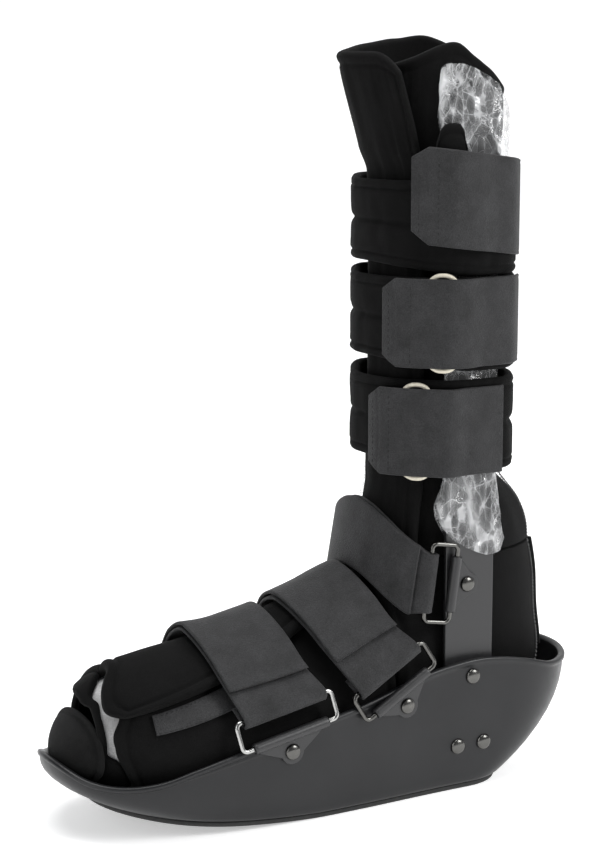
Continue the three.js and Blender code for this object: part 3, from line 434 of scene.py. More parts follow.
def film_material():
    """Thin clear film, crumpled into flat facets: each has its own tilt and share of glare. The glare is
    painted: the alpha turns the white film opaque on some facets and along the creases, as painted
    highlights, while the tilts give real reflections.
    """
    material, nodes, links, bsdf, vector = shader("film")
    stretched = node(
        nodes, "ShaderNodeMapping", {"Scale": (1.5, 1.5, 0.75), "Rotation": (0.3, 0.5, 0.2)}
    )
    links.new(vector, stretched.inputs["Vector"])
    way = nodes.new("ShaderNodeNewGeometry").outputs["Normal"]
    glare = []
    for scale, tilt in ((60.0, 1.3), (150.0, 0.7)):
        cells = []
        for feature in ("F1", "DISTANCE_TO_EDGE"):
            cell = node(nodes, "ShaderNodeTexVoronoi", {"Scale": scale}, feature=feature)
            links.new(stretched.outputs["Vector"], cell.inputs["Vector"])
            cells.append(cell)
        for cell, stops in zip(cells, (FACET_PAINTED_GLARE, CREASE_PAINTED_GLARE)):
            share = ramp(nodes, stops)
            links.new(cell.outputs["Distance"], share.inputs["Fac"])
            glare.append(share.outputs["Color"])
        centred = node(nodes, "ShaderNodeVectorMath", {1: (0.5, 0.5, 0.5)}, operation="SUBTRACT")
        scaled = node(nodes, "ShaderNodeVectorMath", {"Scale": tilt}, operation="SCALE")
        added = node(nodes, "ShaderNodeVectorMath", operation="ADD")
        links.new(cells[0].outputs["Color"], centred.inputs[0])
        links.new(centred.outputs["Vector"], scaled.inputs[0])
        links.new(way, added.inputs[0])
        links.new(scaled.outputs["Vector"], added.inputs[1])
        way = added.outputs["Vector"]
    # The strongest painted glare sets the alpha, so the white base colour shows there as a painted
    # highlight
    painted_glare_alpha = glare[0]
    for part in glare[1:]:
        painted_glare_alpha = combined(nodes, links, "MAXIMUM", painted_glare_alpha, part)
    links.new(painted_glare_alpha, bsdf.inputs["Alpha"])
    unit = node(nodes, "ShaderNodeVectorMath", operation="NORMALIZE")
    links.new(way, unit.inputs[0])
    links.new(unit.outputs["Vector"], bsdf.inputs["Normal"])
    set_surface(bsdf, Roughness=0.1, Base_Color=(0.85, 0.86, 0.87, 1), IOR=1.7, Specular_IOR_Level=1.0)
    material.surface_render_method = "BLENDED"
    return material


def rubber_material():
    material, nodes, links, bsdf, vector = shader("sole_rubber")
    grit = noisy(nodes, links, vector, 500, 5, 0.7)
    ramped(nodes, links, grit, [(0.3, 0.012), (0.7, 0.022)], bsdf.inputs["Base Color"])
    links.new(bump(nodes, links, grit, 0.0002, 0.6), bsdf.inputs["Normal"])
    set_surface(bsdf, Roughness=0.8)
    return material


VELOUR = fabric("velour", 0.0006, 0.0032, 0.008, 1900, 0.0004)
NAP = fabric("velour_nap", 0.0015, 0.0095, 0.02, 1700, 0.0005)
LINING = fabric("lining", 0.3, 0.62, 0.1, 1600, 0.0002, 90)
THREAD = fabric("thread", 0.05, 0.2, 0.1, 2500, 0.0001)
STITCH = fabric("stitch", 0.01, 0.035, 0.05, 2500, 0.0001)
WEB = webbing_material()
SHELL = plastic_material()
BRIGHT = metal_material("bright_metal", (0.45, 0.45, 0.44), 0.14, 0.28, 900)
DARK = metal_material("bright_metal_dark", (0.12, 0.118, 0.112), 0.16, 0.3, 900)
COATED = metal_material("coated_metal", (0.018, 0.018, 0.019), 0.32, 0.46, 1500, 0.0, 0.0001)
IVORY = metal_material("ivory_metal", (0.72, 0.67, 0.55), 0.2, 0.35, 900, 0.0)
CLEAR = film_material()
RUBBER = rubber_material()

# Mesh making


def piece(name, points, faces, material, nodes=()):
    """A mesh object from points in millimetres. It stands for the named solids."""
    mesh = bpy.data.meshes.new(name)
    mesh.from_pydata([tuple(c * MM for c in p) for p in points], [], faces)
    mesh.validate()
    made = bpy.data.objects.new(name, mesh)
    scene.collection.objects.link(made)
    mesh.materials.append(material)
    mesh.polygons.foreach_set("use_smooth", [True] * len(mesh.polygons))
    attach(made, "root")
    if nodes:
        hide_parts(*nodes)
    return made


def clustered(count, pull=0.85):
    """Shares from 0 to 1 that lie closer together near both ends."""
    return [
        t - pull * math.sin(2 * math.pi * t) / (2 * math.pi)
        for t in (i / (count - 1) for i in range(count))
    ]


FAR_AWAY = 1e9


def grid_normals(grid, loop):
    if loop:
        along = np.roll(grid, -1, 0) - np.roll(grid, 1, 0)
    else:
        along = np.gradient(grid, axis=0)
    across = np.gradient(grid, axis=1)
    normals = np.cross(along, across)
    return normals / np.maximum(np.linalg.norm(normals, axis=2, keepdims=True), 1e-9)


def edge_distances(grid, loop):
    """For each point of a grid, its distance from the nearer row end and from both column ends."""
    rows = np.linalg.norm(np.diff(grid, axis=0), axis=2)
    cols = np.linalg.norm(np.diff(grid, axis=1), axis=2)
    along = np.concatenate([np.zeros((1, grid.shape[1])), np.cumsum(rows, 0)])
    low = np.concatenate([np.zeros((grid.shape[0], 1)), np.cumsum(cols, 1)], 1)
    along = np.full(along.shape, FAR_AWAY) if loop else np.minimum(along, along[-1:] - along)
    return along, low, low[:, -1:] - low


def rounded(distance, radius):
    return np.sqrt(np.clip(1 - (1 - np.clip(distance / radius, 0, 1)) ** 2, 0, 1))


def slab(grid, base, thick, inside, loop=False, radius=None, puff=None, ends=(None, None)):
    """Points and faces of a sheet with round edges. It lies on the grid from `base` to
    `base + thick`, away from the point `inside` of each grid point. `puff` adds to its outer
    face at each row, column, and distance from the two kinds of edges."""
    grid = np.array(grid, float)
    rows, cols = grid.shape[:2]
    normals = grid_normals(grid, loop)
    middle = grid[rows // 2, cols // 2]
    turned = np.dot(normals[rows // 2, cols // 2], middle - np.array(inside(middle))) < 0
    if turned:
        normals = -normals
    along, low, high = edge_distances(grid, loop)
    across = np.minimum(low, high)
    radius = radius or thick / 2
    shape = rounded(along, radius) * rounded(low, ends[0] or radius) * rounded(high, ends[1] or radius)
    extra = np.zeros((rows, cols))
    if puff is not None:
        for i in range(rows):
            for j in range(cols):
                extra[i, j] = puff(i / (rows - 1), j / (cols - 1), along[i, j], across[i, j])
    centre = base + thick / 2
    outer = grid + normals * (centre + shape * (thick / 2 + extra))[..., None]
    inner = grid + normals * (centre - shape * thick / 2)[..., None]
    points = np.concatenate([outer.reshape(-1, 3), inner.reshape(-1, 3)])
    count = rows * cols
    last = rows if loop else rows - 1
    faces = []
    for i in range(last):
        n = (i + 1) % rows
        for j in range(cols - 1):
            a, b, c, d = i * cols + j, i * cols + j + 1, n * cols + j + 1, n * cols + j
            faces.append((a, d, c, b) if not turned else (a, b, c, d))
            e, f, g, h = (k + count for k in (a, b, c, d))
            faces.append((e, f, g, h) if not turned else (e, h, g, f))
    # On the border both faces meet, so the inner points of the border become the outer ones.
    same = {}
    for i in range(rows):
        for j in range(cols):
            on_row_end = not loop and i in (0, rows - 1)
            if on_row_end or j in (0, cols - 1):
                same[count + i * cols + j] = i * cols + j
    faces = [tuple(same.get(k, k) for k in face) for face in faces]
    used = sorted({k for face in faces for k in face})
    place = {k: i for i, k in enumerate(used)}
    return [tuple(points[k]) for k in used], [tuple(place[k] for k in face) for face in faces]


def slab_piece(name, grid, base, thick, inside, material, slot, nodes, **options):
    points, faces = slab(grid, base, thick, inside, **options)
    return piece(name, points, faces, material, nodes)


def ring_faces(rings, count, closed=False):
    """Quads between rings of `count` points each, with both ends capped, or joined if closed."""
    faces = []
    for r in range(rings if closed else rings - 1):
        n = (r + 1) % rings
        for k in range(count):
            m = (k + 1) % count
            faces.append((r * count + k, r * count + m, n * count + m, n * count + k))
    if not closed:
        faces.append(tuple(range(count))[::-1])
        faces.append(tuple(range((rings - 1) * count, rings * count)))
    return faces


def tube(path, radius, sides, name, material, nodes):
    """A closed round wire along a path in one plane."""
    path = [Vector(p) for p in path]
    count = len(path)
    middle = sum(path, Vector()) / count
    normal = Vector()
    for i, p in enumerate(path):
        normal += (p - middle).cross(path[(i + 1) % count] - middle)
    normal.normalize()
    points = []
    for i, p in enumerate(path):
        side = (path[(i + 1) % count] - path[i - 1]).normalized().cross(normal)
        for k in range(sides):
            a = 2 * math.pi * k / sides
            points.append(p + side * radius * math.cos(a) + normal * radius * math.sin(a))
    piece(name, points, ring_faces(count, sides, closed=True), material, nodes)


def ridge(at, height, middle, width):
    """Height of a low, soft ridge at a place across it."""
    return height * math.exp(-(((at - middle) / width) ** 2))


def cloth_noise(u, v, seed):
    return noise.noise(Vector((u, v, seed)))


def wave(p, scale, seed):
    """Smooth noise from -1 to 1 at a point in millimetres."""
    return noise.noise(Vector((p[0] * scale + seed, p[1] * scale, p[2] * scale)))


# Shell and outsole

SHELL_STATIONS = 96
# How far in and above the rim each ring of the rolled lip lies
LIP_ROWS = [
    (-0.1, -3.2), (-0.9, -2.6), (-1.0, -1.2), (-0.5, -0.3), (0.5, 0.0), (1.8, -0.1), (2.8, -0.8),
    (3.0, -2.4),
]
# How far in and above the ground each ring of the tread layer lies
TREAD_ROWS = [(3.0, 0), (2.3, 0.35), (2.0, 1.0), (2.0, OUTSOLE - 0.5), (2.4, OUTSOLE)]


def shell_ring(level, inset, lift):
    """Points round the shell at a share of its height, a way in from its outside."""
    along = (SHELL_LENGTH - 2 * inset) / SHELL_LENGTH
    across = (SHELL_HALF - inset) / SHELL_HALF
    centre = HEEL_BACK - SHELL_LENGTH / 2

    def place(i, side):
        at = (1 - math.cos(math.pi * i / SHELL_STATIONS)) / 2
        x = centre + (tucked_x(HEEL_BACK - at * SHELL_LENGTH, level) - centre) * along
        y = side * tucked_half(half_width(at), level) * across
        return (x, y, lerp(sole_top(x), RIM_HEIGHT * rim_share(at), level) + lift)

    left = [place(i, -1) for i in range(SHELL_STATIONS + 1)]
    return left + [place(SHELL_STATIONS - 1 - i, 1) for i in range(SHELL_STATIONS - 1)]


def stacked(rings):
    """Points and faces of a body of rings, closed at both ends by strips across the ring."""
    count = len(rings[0])
    faces = []
    for r in range(len(rings) - 1):
        for k in range(count):
            a, b = r * count + k, r * count + (k + 1) % count
            faces.append((a, a + count, b + count, b))
    for base, turned in ((0, True), ((len(rings) - 1) * count, False)):
        for k in range(count // 2):
            near, far = (count - k) % count, count - k - 1
            face = [base + k, base + k + 1, base + far, base + near]
            face = [v for i, v in enumerate(face) if v not in face[:i]]
            faces.append(tuple(face if turned else face[::-1]))
    return [p for ring in rings for p in ring], faces


def make_shell():
    levels = (0.03, 0.08, 0.16, 0.26, 0.38, 0.5, 0.62, 0.74, 0.85, 0.93)
    outer = [shell_ring(0.0, 1.4, 0.0), shell_ring(0.0, 0.4, 0.5)]
    outer += [shell_ring(level, 0, 0) for level in levels]
    outer += [shell_ring(1.0, inset, lift) for inset, lift in LIP_ROWS]
    inner = [shell_ring(level, WALL, 0) for level in (0.9, 0.75, 0.6, 0.45, 0.3, 0.18)]
    inner += [shell_ring(0.06, WALL + 0.6, FLOOR * 0.5), shell_ring(0, WALL + 3, FLOOR)]
    points, faces = stacked(outer + inner)
    piece("shell_tub", points, faces, SHELL, ["shell"])


def make_outsole():
    rings = []
    for inset, height in TREAD_ROWS:
        rings.append([(x, y, ground(x) + height) for x, y, _ in shell_ring(0, inset, 0)])
    points, faces = stacked(rings)
    piece("tread_layer", points, faces, RUBBER, ["outsole"])


make_shell()
make_outsole()

# Uprights and rivets

RIVET_SEGMENTS = 28
UPRIGHT_SHANK, UPRIGHT_SINK, TAB_SHANK, TAB_SINK = 5, 0.4, 3.6, 0.2


def make_rivet(name, shank, point, out, node_name):
    """A dark domed rivet head on a shank, turned about the way out."""
    profile = dome_profile(shank)
    turn = Vector((0, 0, 1)).rotation_difference(Vector(out)).to_matrix()
    points = []
    for radius, height in profile:
        for k in range(RIVET_SEGMENTS):
            a = 2 * math.pi * k / RIVET_SEGMENTS
            local = Vector((radius * math.cos(a), radius * math.sin(a), height))
            points.append(Vector(point) + turn @ local)
    piece(name, points, ring_faces(len(profile), RIVET_SEGMENTS), DARK, [node_name])


def dome_profile(shank):
    profile = [(SHANK, -shank), (SHANK, 0.02), (HEAD - 0.15, 0.02), (HEAD, 0.3), (HEAD - 0.1, 0.6)]
    for k in range(1, 8):
        a = rad(90) * k / 8
        profile.append(((HEAD - 0.2) * math.cos(a), 0.6 + (HEAD_HEIGHT - 0.6) * math.sin(a)))
    profile.append((0.25, HEAD_HEIGHT))
    return profile


def make_upright(side, name):
    """A flat bar with a domed top and bevelled edges."""
    half, dome, bevel, soft = UPRIGHT_WIDTH / 2, UPRIGHT_WIDTH * 0.3, 0.6, 0.15
    outline = [(-half, UPRIGHT_FOOT), (half, UPRIGHT_FOOT)]
    outline += [(half, z) for z in np.linspace(UPRIGHT_FOOT, UPRIGHT_TOP - dome, 40)[1:-1]]
    for k in range(25):
        a = math.pi * k / 24
        outline.append((half * math.cos(a), UPRIGHT_TOP - dome + dome * math.sin(a)))
    outline += [(-half, z) for z in np.linspace(UPRIGHT_TOP - dome, UPRIGHT_FOOT, 40)[1:-1]]
    middle = (UPRIGHT_FOOT + UPRIGHT_TOP) / 2
    tall = UPRIGHT_TOP - UPRIGHT_FOOT
    rings = []
    depth = UPRIGHT_OUTER - UPRIGHT_INNER
    edges = [(bevel, 0), (soft, bevel * 0.4), (0, bevel)]
    edges += [(0, depth - bevel), (soft, depth - bevel * 0.4), (bevel, depth)]
    for inset, y in edges:
        wide, high = 1 - inset / half, 1 - 2 * inset / tall
        rings.append([
            (UPRIGHT_X + u * wide, side * (UPRIGHT_INNER + y), middle + (z - middle) * high)
            for u, z in outline
        ])
    points = [p for ring in rings for p in ring]
    faces = ring_faces(len(rings), len(outline))
    if side > 0:
        faces = [face[::-1] for face in faces]
    made = piece(f"upright_bar_{name}", points, faces, COATED, [f"upright_{name}"])
    for polygon in made.data.polygons:
        if len(polygon.vertices) > 4:
            polygon.use_smooth = False


RIVETS_X = UPRIGHT_X - 1.2
UPRIGHT_RIVETS = [("top", RIVETS_X, 69), ("front", RIVETS_X - 9, 28), ("back", RIVETS_X + 9, 28)]

# Loops, tabs and straps

FOLD_RADIUS = WIRE + SEAT + TAB_SHEET
BAR_SPAN = LOOP_HEIGHT - 2 * WIRE
LOOP_CORNER = 3


def place_x(at):
    return HEEL_BACK - at * SHELL_LENGTH


def loop_frame(bar, slope_way, out, lean, width):
    """A wire loop's directions: along its bar, up the wall, out of it and up the leaning loop."""
    along = (slope_way - out * slope_way.dot(out)).normalized()
    up = along.cross(out).normalized()
    if up.dot(Vector((-1, 0, 1))) < 0:
        up = -up
    rise = up * math.cos(rad(lean)) - out * math.sin(rad(lean))
    away = out * math.cos(rad(lean)) + up * math.sin(rad(lean))
    return {"bar": bar, "along": along, "out": out, "up": up, "rise": rise,
            "top": bar + rise * BAR_SPAN, "away": away, "width": width}


# Strap, share along the shell of its loops and of its crest, width, depth below the rim, slope, lean
SHELL_LOOPS = [
    ("forefoot", 0.636, 0.679, FOREFOOT_STRAP, -1, 11, 12),
    ("instep", 0.418, 0.51, INSTEP_STRAP, 2, 30, 9),
]
ANKLE_LOOP_SLOPE, ANKLE_LOOP_LEAN, ANKLE_LOOP_INSET = 8, 6, 3
SIDES = (("left", -1), ("right", 1))
frames = {}
for side_name, side in SIDES:
    for strap, at, _, width, below, slope, lean in SHELL_LOOPS:
        x = place_x(at)
        z = rim_z(x) - below
        out = wall_out(x, z - TAB_DROP / 2, side)
        proud = wall_half(x, z - TAB_DROP / 2) + FOLD_RADIUS + SEAT
        way = Vector((math.cos(rad(slope)), 0, math.sin(rad(slope))))
        bar = Vector((x, side * proud, z))
        frames[strap, side_name] = loop_frame(bar, way, out, lean, width + 8)
    x = UPRIGHT_X - UPRIGHT_WIDTH / 2 + ANKLE_LOOP_INSET
    bar = Vector((x, side * (UPRIGHT_OUTER + SEAT + FOLD_RADIUS), ANKLE_LOOP_Z))
    upward = Vector((math.sin(rad(ANKLE_LOOP_SLOPE)), 0, math.cos(rad(ANKLE_LOOP_SLOPE))))
    out = Vector((0, side, 0))
    frames["ankle", side_name] = loop_frame(bar, upward, out, ANKLE_LOOP_LEAN, ANKLE_STRAP + 5)


def rounded_path(centre, wide, tall, width, height, corner, steps):
    """A rectangle with round corners, round a centre in the plane of two directions."""
    path = []
    for sx, sy, start in ((1, 1, 0), (-1, 1, 90), (-1, -1, 180), (1, -1, 270)):
        for k in range(steps + 1):
            a = rad(start + 90 * k / steps)
            u = sx * (width / 2 - corner) + corner * math.cos(a)
            v = sy * (height / 2 - corner) + corner * math.sin(a)
            path.append(centre + wide * u + tall * v)
    return path


def make_strap_loop(strap, side_name):
    f = frames[strap, side_name]
    centre = f["bar"] + f["rise"] * (BAR_SPAN / 2)
    path = rounded_path(centre, f["along"], f["rise"], f["width"], BAR_SPAN, LOOP_CORNER, 8)
    metal = BRIGHT if strap == "forefoot" else DARK
    name, stood_for = f"wire_{strap}_{side_name}", f"{strap}_loop_{side_name}"
    tube(path, WIRE, 14, name, metal, [stood_for])


# The nose is round over a share of its radius, then the tab widens up to its shoulders
TAB_NOSE, TAB_TIP, NOSE_SHARE, NOSE_WIDTH = HEAD + 2.5, 0.4, 0.8, 0.98
TAB_SHOULDER, TAB_WRAP = 2.2, 275


def make_tab(strap, side_name):
    """One strip of sheet: from a round nose at the rivet, widening up to the bar and round it."""
    f = frames[strap, side_name]
    half = f["width"] / 2 - LOOP_HEIGHT / 3
    radius = WIRE + SEAT + TAB_SHEET / 2
    bottom = -TAB_DROP - TAB_NOSE

    def spine(s):
        """Height and distance out of the sheet's middle at a length s above the nose."""
        flat = -bottom
        if s < flat:
            return bottom + s, -radius
        a = (s - flat) / radius
        return radius * math.sin(a), -radius * math.cos(a)

    def width(s):
        nose = min(s, TAB_NOSE)
        round_part = math.sqrt(max(TAB_NOSE**2 - (TAB_NOSE - nose) ** 2, 0.0))
        if s < TAB_NOSE * NOSE_SHARE:
            return max(round_part, TAB_TIP)
        t = clamp((s - TAB_NOSE * NOSE_SHARE) / (-bottom - TAB_SHOULDER - TAB_NOSE * NOSE_SHARE))
        return lerp(TAB_NOSE * NOSE_WIDTH, half, t**0.95)

    length = -bottom + radius * rad(TAB_WRAP)
    grid = []
    for s in [length * t for t in clustered(44, 0.6)]:
        up, out = spine(s)
        row = []
        for t in clustered(25, 0.6):
            across = (2 * t - 1) * width(s)
            row.append(tuple(f["bar"] + f["along"] * across + f["up"] * up + f["out"] * out))
        grid.append(row)
    slab_piece(
        f"tab_{strap}_{side_name}", grid, -TAB_SHEET / 2, TAB_SHEET,
        lambda p: tuple(f["bar"]), COATED, "coated_metal", [f"{strap}_tab_{side_name}"], radius=0.5,
    )


def tab_rivet_point(f):
    return f["bar"] - f["up"] * TAB_DROP + f["out"] * (TAB_SHEET + SEAT - FOLD_RADIUS)


for side_name, side in SIDES:
    for place, x, z in UPRIGHT_RIVETS:
        point = (x, side * (wall_half(x, z) + 2 * SEAT - UPRIGHT_SINK), z)
        stood_for = f"upright_rivet_{place}_{side_name}"
        make_rivet(f"stud_{place}_{side_name}", UPRIGHT_SHANK, point, (0, side, 0), stood_for)
    for strap in ("forefoot", "instep", "ankle"):
        f = frames[strap, side_name]
        point = tab_rivet_point(f) - f["out"] * TAB_SINK
        stood_for = f"{strap}_rivet_{side_name}"
        make_rivet(f"stud_{strap}_{side_name}", TAB_SHANK, point, f["out"], stood_for)
        make_strap_loop(strap, side_name)
        make_tab(strap, side_name)
    make_upright(side, side_name)

WRAP_RADIUS = WIRE + 0.8 * SLACK + WEBBING / 2
LAYER_STEP = WEBBING + SLACK
SHOULDER, FREE_END, ANKLE_TURN, ANKLE_TILT = 138, 0.32, 66, 10


def wrap(f, shift):
    """Points where a strap turns round the top bar of its loop."""
    p = f["top"] + f["along"] * shift
    turned = []
    for k in range(6):
        a = math.pi * (1 + k / 4.2)
        turned.append(p + f["away"] * WRAP_RADIUS * math.cos(a) + f["rise"] * WRAP_RADIUS * math.sin(a))
    return turned


def foot_crossing(left, crest, width):
    """How a strap crosses the foot, at a share v of its width and in its lower or upper layer."""

    def crossing(v, layer):
        points = []
        for i in range(9):
            angle = lerp(SHOULDER, 180 - SHOULDER, i / 8)
            rise = math.sin(rad(angle))
            x = lerp(left["top"].x, crest, rise**1.5) + v * width * lerp(0.98, 0.94, rise)
            lift = max(raised(x, angle), raised(x, angle + 9), 0.8 * raised(x, angle + 20))
            tilt = TOE_LIFT * max(-v, 0) * rise**4
            offset = lift + 1.4 * SLACK + WEBBING / 2 + layer * LAYER_STEP + tilt
            points.append(Vector(foot_point(x, angle, offset)))
        return points

    return crossing


def ankle_crossing(left, width):
    """How the ankle strap crosses the front of the ankle."""

    def crossing(v, layer):
        half = abs(left["top"].y) + layer * LAYER_STEP
        front = ANKLE_REACH + layer * LAYER_STEP
        points = []
        for i in range(9):
            a = rad(lerp(ANKLE_TURN, -ANKLE_TURN, i / 8))
            across = v * width
            x = left["top"].x - front * math.cos(a) + across * math.sin(rad(ANKLE_TILT))
            z = left["top"].z + ANKLE_RISE * math.cos(a) ** 2.4 + across * math.cos(rad(ANKLE_TILT))
            points.append(Vector((x, -half * math.sin(a), z)))
        return points

    return crossing


def strap_line(left, right, at_bar, crossing, v):
    """The middle of a strap's webbing, as points along it, at a share v of its width."""
    left_wrap, right_wrap = wrap(left, v * at_bar), wrap(right, v * at_bar)
    under, over = crossing(v, 0), crossing(v, 1)
    way = (under[0] - left_wrap[5]).normalized()
    end = left_wrap[0] + way * STRAP_RETURN
    off = (left["away"] - way * left["away"].dot(way)).normalized()
    free = under[0].lerp(left_wrap[5], FREE_END) + off * LAYER_STEP
    return [end, *left_wrap, *under, *right_wrap, *over[::-1], free]


def smooth_line(points, steps):
    """A smooth line through the points, by a centripetal cubic between each pair."""
    points = [Vector(p) for p in points]
    lined = []
    for i in range(len(points) - 1):
        p0 = points[i - 1] if i else points[0] * 2 - points[1]
        p1, p2 = points[i], points[i + 1]
        p3 = points[i + 2] if i + 2 < len(points) else p2 * 2 - p1
        d1 = max((p1 - p0).length, 1e-6) ** 0.5
        d2 = max((p2 - p1).length, 1e-6) ** 0.5
        d3 = max((p3 - p2).length, 1e-6) ** 0.5
        m1 = ((p1 - p0) / d1 - (p2 - p0) / (d1 + d2) + (p2 - p1) / d2) * d2
        m2 = ((p2 - p1) / d2 - (p3 - p1) / (d2 + d3) + (p3 - p2) / d3) * d2
        for k in range(steps):
            t = k / steps
            t2, t3 = t * t, t * t * t
            ends = p1 * (2 * t3 - 3 * t2 + 1) + m1 * (t3 - 2 * t2 + t)
            lined.append(ends + p2 * (3 * t2 - 2 * t3) + m2 * (t3 - t2))
    lined.append(points[-1])
    return lined


def make_foot_strap(strap, at_bar, crossing):
    left, right = frames[strap, "left"], frames[strap, "right"]
    lines = []
    for t in clustered(19, 0.7):
        lines.append(smooth_line(strap_line(left, right, at_bar, crossing, t - 0.5), 6))
    grid = [[tuple(p) for p in row] for row in zip(*lines)]
    slab_piece(
        f"webbing_{strap}", grid, -WEBBING / 2, WEBBING, lambda p: (p[0], 0, 0), WEB, "webbing",
        [f"{strap}_strap"], radius=0.8, puff=lambda u, v, along, across: -ridge(across, 0.25, 2.6, 0.8),
    )


for strap, _, crest, width, *_ in SHELL_LOOPS:
    make_foot_strap(strap, width, foot_crossing(frames[strap, "left"], place_x(crest), width))
make_foot_strap("ankle", 0.86 * ANKLE_STRAP, ankle_crossing(frames["ankle", "left"], ANKLE_STRAP))

# Liner


def foot_core(p):
    return (p[0], 0, (FOOT_HEIGHT + p[2]) / 4)


FLAP_TURN, NEAR_START, FAR_START = 18, 269, -89
# How far forward each flap's front edge lies, as shares of FLAP_REACH, by the angle
FAR_REACH_ROWS = [
    (-89, 0), (-40, 0.18), (0, 0.3), (60, 0.42), (105, 0.45), (123, 0.88), (138, 1), (149, 0.9),
]
NEAR_REACH_ROWS = [
    (122, 0.35), (146, 0.5), (162, 0.75), (181, 0.72), (191, 0.6), (205, 0.4), (225, 0.1), (245, 0),
    (269, 0),
]


def flap_grid(start, ending, rows, cols, lift, reach_rows):
    """A flap from a fixed angle under the foot to the angle where it ends at each place along."""
    reach = column(reach_rows, 1)
    grid = []
    for share in clustered(rows, 0.75):
        end = ending(FOOT_FRONT)
        corner = clamp(1 - abs((1 - share) * (end - start)) / FLAP_TURN)
        straight = FOOT_FRONT - FLAP_REACH * reach(lerp(start, end, share))
        front = straight + FLAP_CORNER * (1 - math.sqrt(1 - corner**2))
        row = []
        for t in clustered(cols, 0.8):
            x = lerp(front, INSTEP_X - SEAT, t)
            angle = lerp(start, ending(x), share)
            row.append(foot_point(x, angle, lift(x, angle) - LINER_WALL))
        grid.append(row)
    return grid


def rolled_edge(seed, roll=0.7, groove=1.1, wrinkle=0.5):
    """A rolled edge, a stitched groove behind it, and soft unevenness."""

    def puff(u, v, along, across):
        edge = min(along, across)
        soft = wrinkle * cloth_noise(u * 9 + seed, v * 5, seed)
        return ridge(edge, roll, 3.0, 2.0) - ridge(edge, groove, 7.2, 1.2) + soft * min(edge / 8, 1)

    return puff


def padded_piece(name, grid, base, thick, inside, nodes, **options):
    made = slab_piece(name, grid, base, thick, inside, VELOUR, "velour", nodes, **options)


near_grid = flap_grid(
    NEAR_START, lambda x: right_edge(x) - OVERLAP_TURN, 80, 80, lambda x, a: 0.0, NEAR_REACH_ROWS
)
far_grid = flap_grid(FAR_START, right_edge, 110, 80, raised, FAR_REACH_ROWS)
for name, grid, stood_for, seed in (
    ("near_flap", near_grid, "foot_flap_left", 3),
    ("far_flap", far_grid, "foot_flap_right", 8),
):
    padded_piece(name, grid, 0, LINER_WALL, foot_core, [stood_for], puff=rolled_edge(seed))

# The light lining shows between the flaps and a bound edge behind the toe cap.
CAP_FRONT = TOE_END + WALL + SLACK
CAP_REAR = CAP_FRONT + CAP_ROLL
near_reach = column(NEAR_REACH_ROWS, 1)


def bound_front(angle):
    """Where the bound edge starts: at the rear edge of the toe cap, or above it."""
    far = lerp(-210, -224, ease(angle, 20, 95))
    return lerp(far, CAP_REAR + 0.8, ease(angle, 112, 128))


def bound_rear(angle):
    """Where the bound edge ends: a little behind its front, or under the flaps beside them."""
    width = lerp(5.5, 3.4, ease(angle, 112, 145))
    flap = FOOT_FRONT - FLAP_REACH * near_reach(clamp(angle, 122, 269)) - 0.6
    covered = max(1 - ease(angle, 80, 124), ease(angle, 184, 197))
    return lerp(bound_front(angle) + width, flap, covered)


lining_depth = LINER_WALL + LINING_WALL + SLACK
lining_grid = []
for u in clustered(90, 0.6):
    angle = lerp(72, 205, u)
    front = bound_rear(angle) - 1.2
    rear = FOOT_FRONT - LINING_REACH + LINING_DEPTH
    xs = [lerp(front, rear, t) for t in clustered(20)]
    lining_grid.append([foot_point(x, angle, -lining_depth) for x in xs])
lining = slab_piece(
    "toe_sheet", lining_grid, 0, LINING_WALL, foot_core, LINING, "lining", ["toe_lining"]
)


def flat_size(grid):
    """Width, length and area of a cloth before it was laid, in metres."""
    cloth = np.array(grid, float) / 1000
    across = np.linalg.norm(np.diff(cloth, axis=1), axis=2).sum(1).max()
    along = np.linalg.norm(np.diff(cloth, axis=0), axis=2).sum(0).max()
    first, second = cloth[1:, :-1] - cloth[:-1, :-1], cloth[:-1, 1:] - cloth[:-1, :-1]
    return across, along, np.linalg.norm(np.cross(first, second), axis=2).sum()


lining_width, lining_length, lining_area = flat_size(lining_grid)

bound_grid = []
for u in clustered(120, 0.5):
    angle = lerp(-30, 232, u)
    front, rear = bound_front(angle), bound_rear(angle)
    row = []
    for t in clustered(14, 0.5):
        row.append(foot_point(lerp(front, max(rear, front + 2), t), angle, -6.6))
    bound_grid.append(row)
padded_piece("bound_edge", bound_grid, 0, 4.4, foot_core, [], radius=2.1)


def seam_stations(count, pull, tight):
    """Stations along a column, with one more just inside the end where two pieces meet."""
    stations = clustered(count, pull)
    return [0, tight, *stations[1:]]


heel_turns = [89.7 - 88.7 * t for t in seam_stations(44, 0.7, 0.003)][::-1]
HEEL_EASE, COLLAR_CORNER, COLLAR_RISE = 1.2, 13, 5


def heel_outside(turn, degrees, offset=0):
    """The outside of the heel liner, drawn in a little at the back near its top."""
    x, y, z = heel_point(turn, degrees, offset)
    drawn = HEEL_EASE * ease(math.cos(rad(degrees + 90)), 0.2, 0.9) * ease(turn, 35, 80)
    return x - drawn, y, z


def heel_blend(z):
    """How far the leg takes the heel's outline: fully at the instep, not at all above it."""
    return 1 - ease(z, INSTEP_Z - 6, INSTEP_Z + 44)


heel_grid = [[heel_outside(turn, 360 * i / 100) for turn in heel_turns] for i in range(100)]
padded_piece(
    "heel_pad", heel_grid, -LINER_WALL, LINER_WALL, lambda p: (p[0], 0, p[2]), ["heel_liner"], loop=True,
    radius=3, ends=(3, 0.3),
)


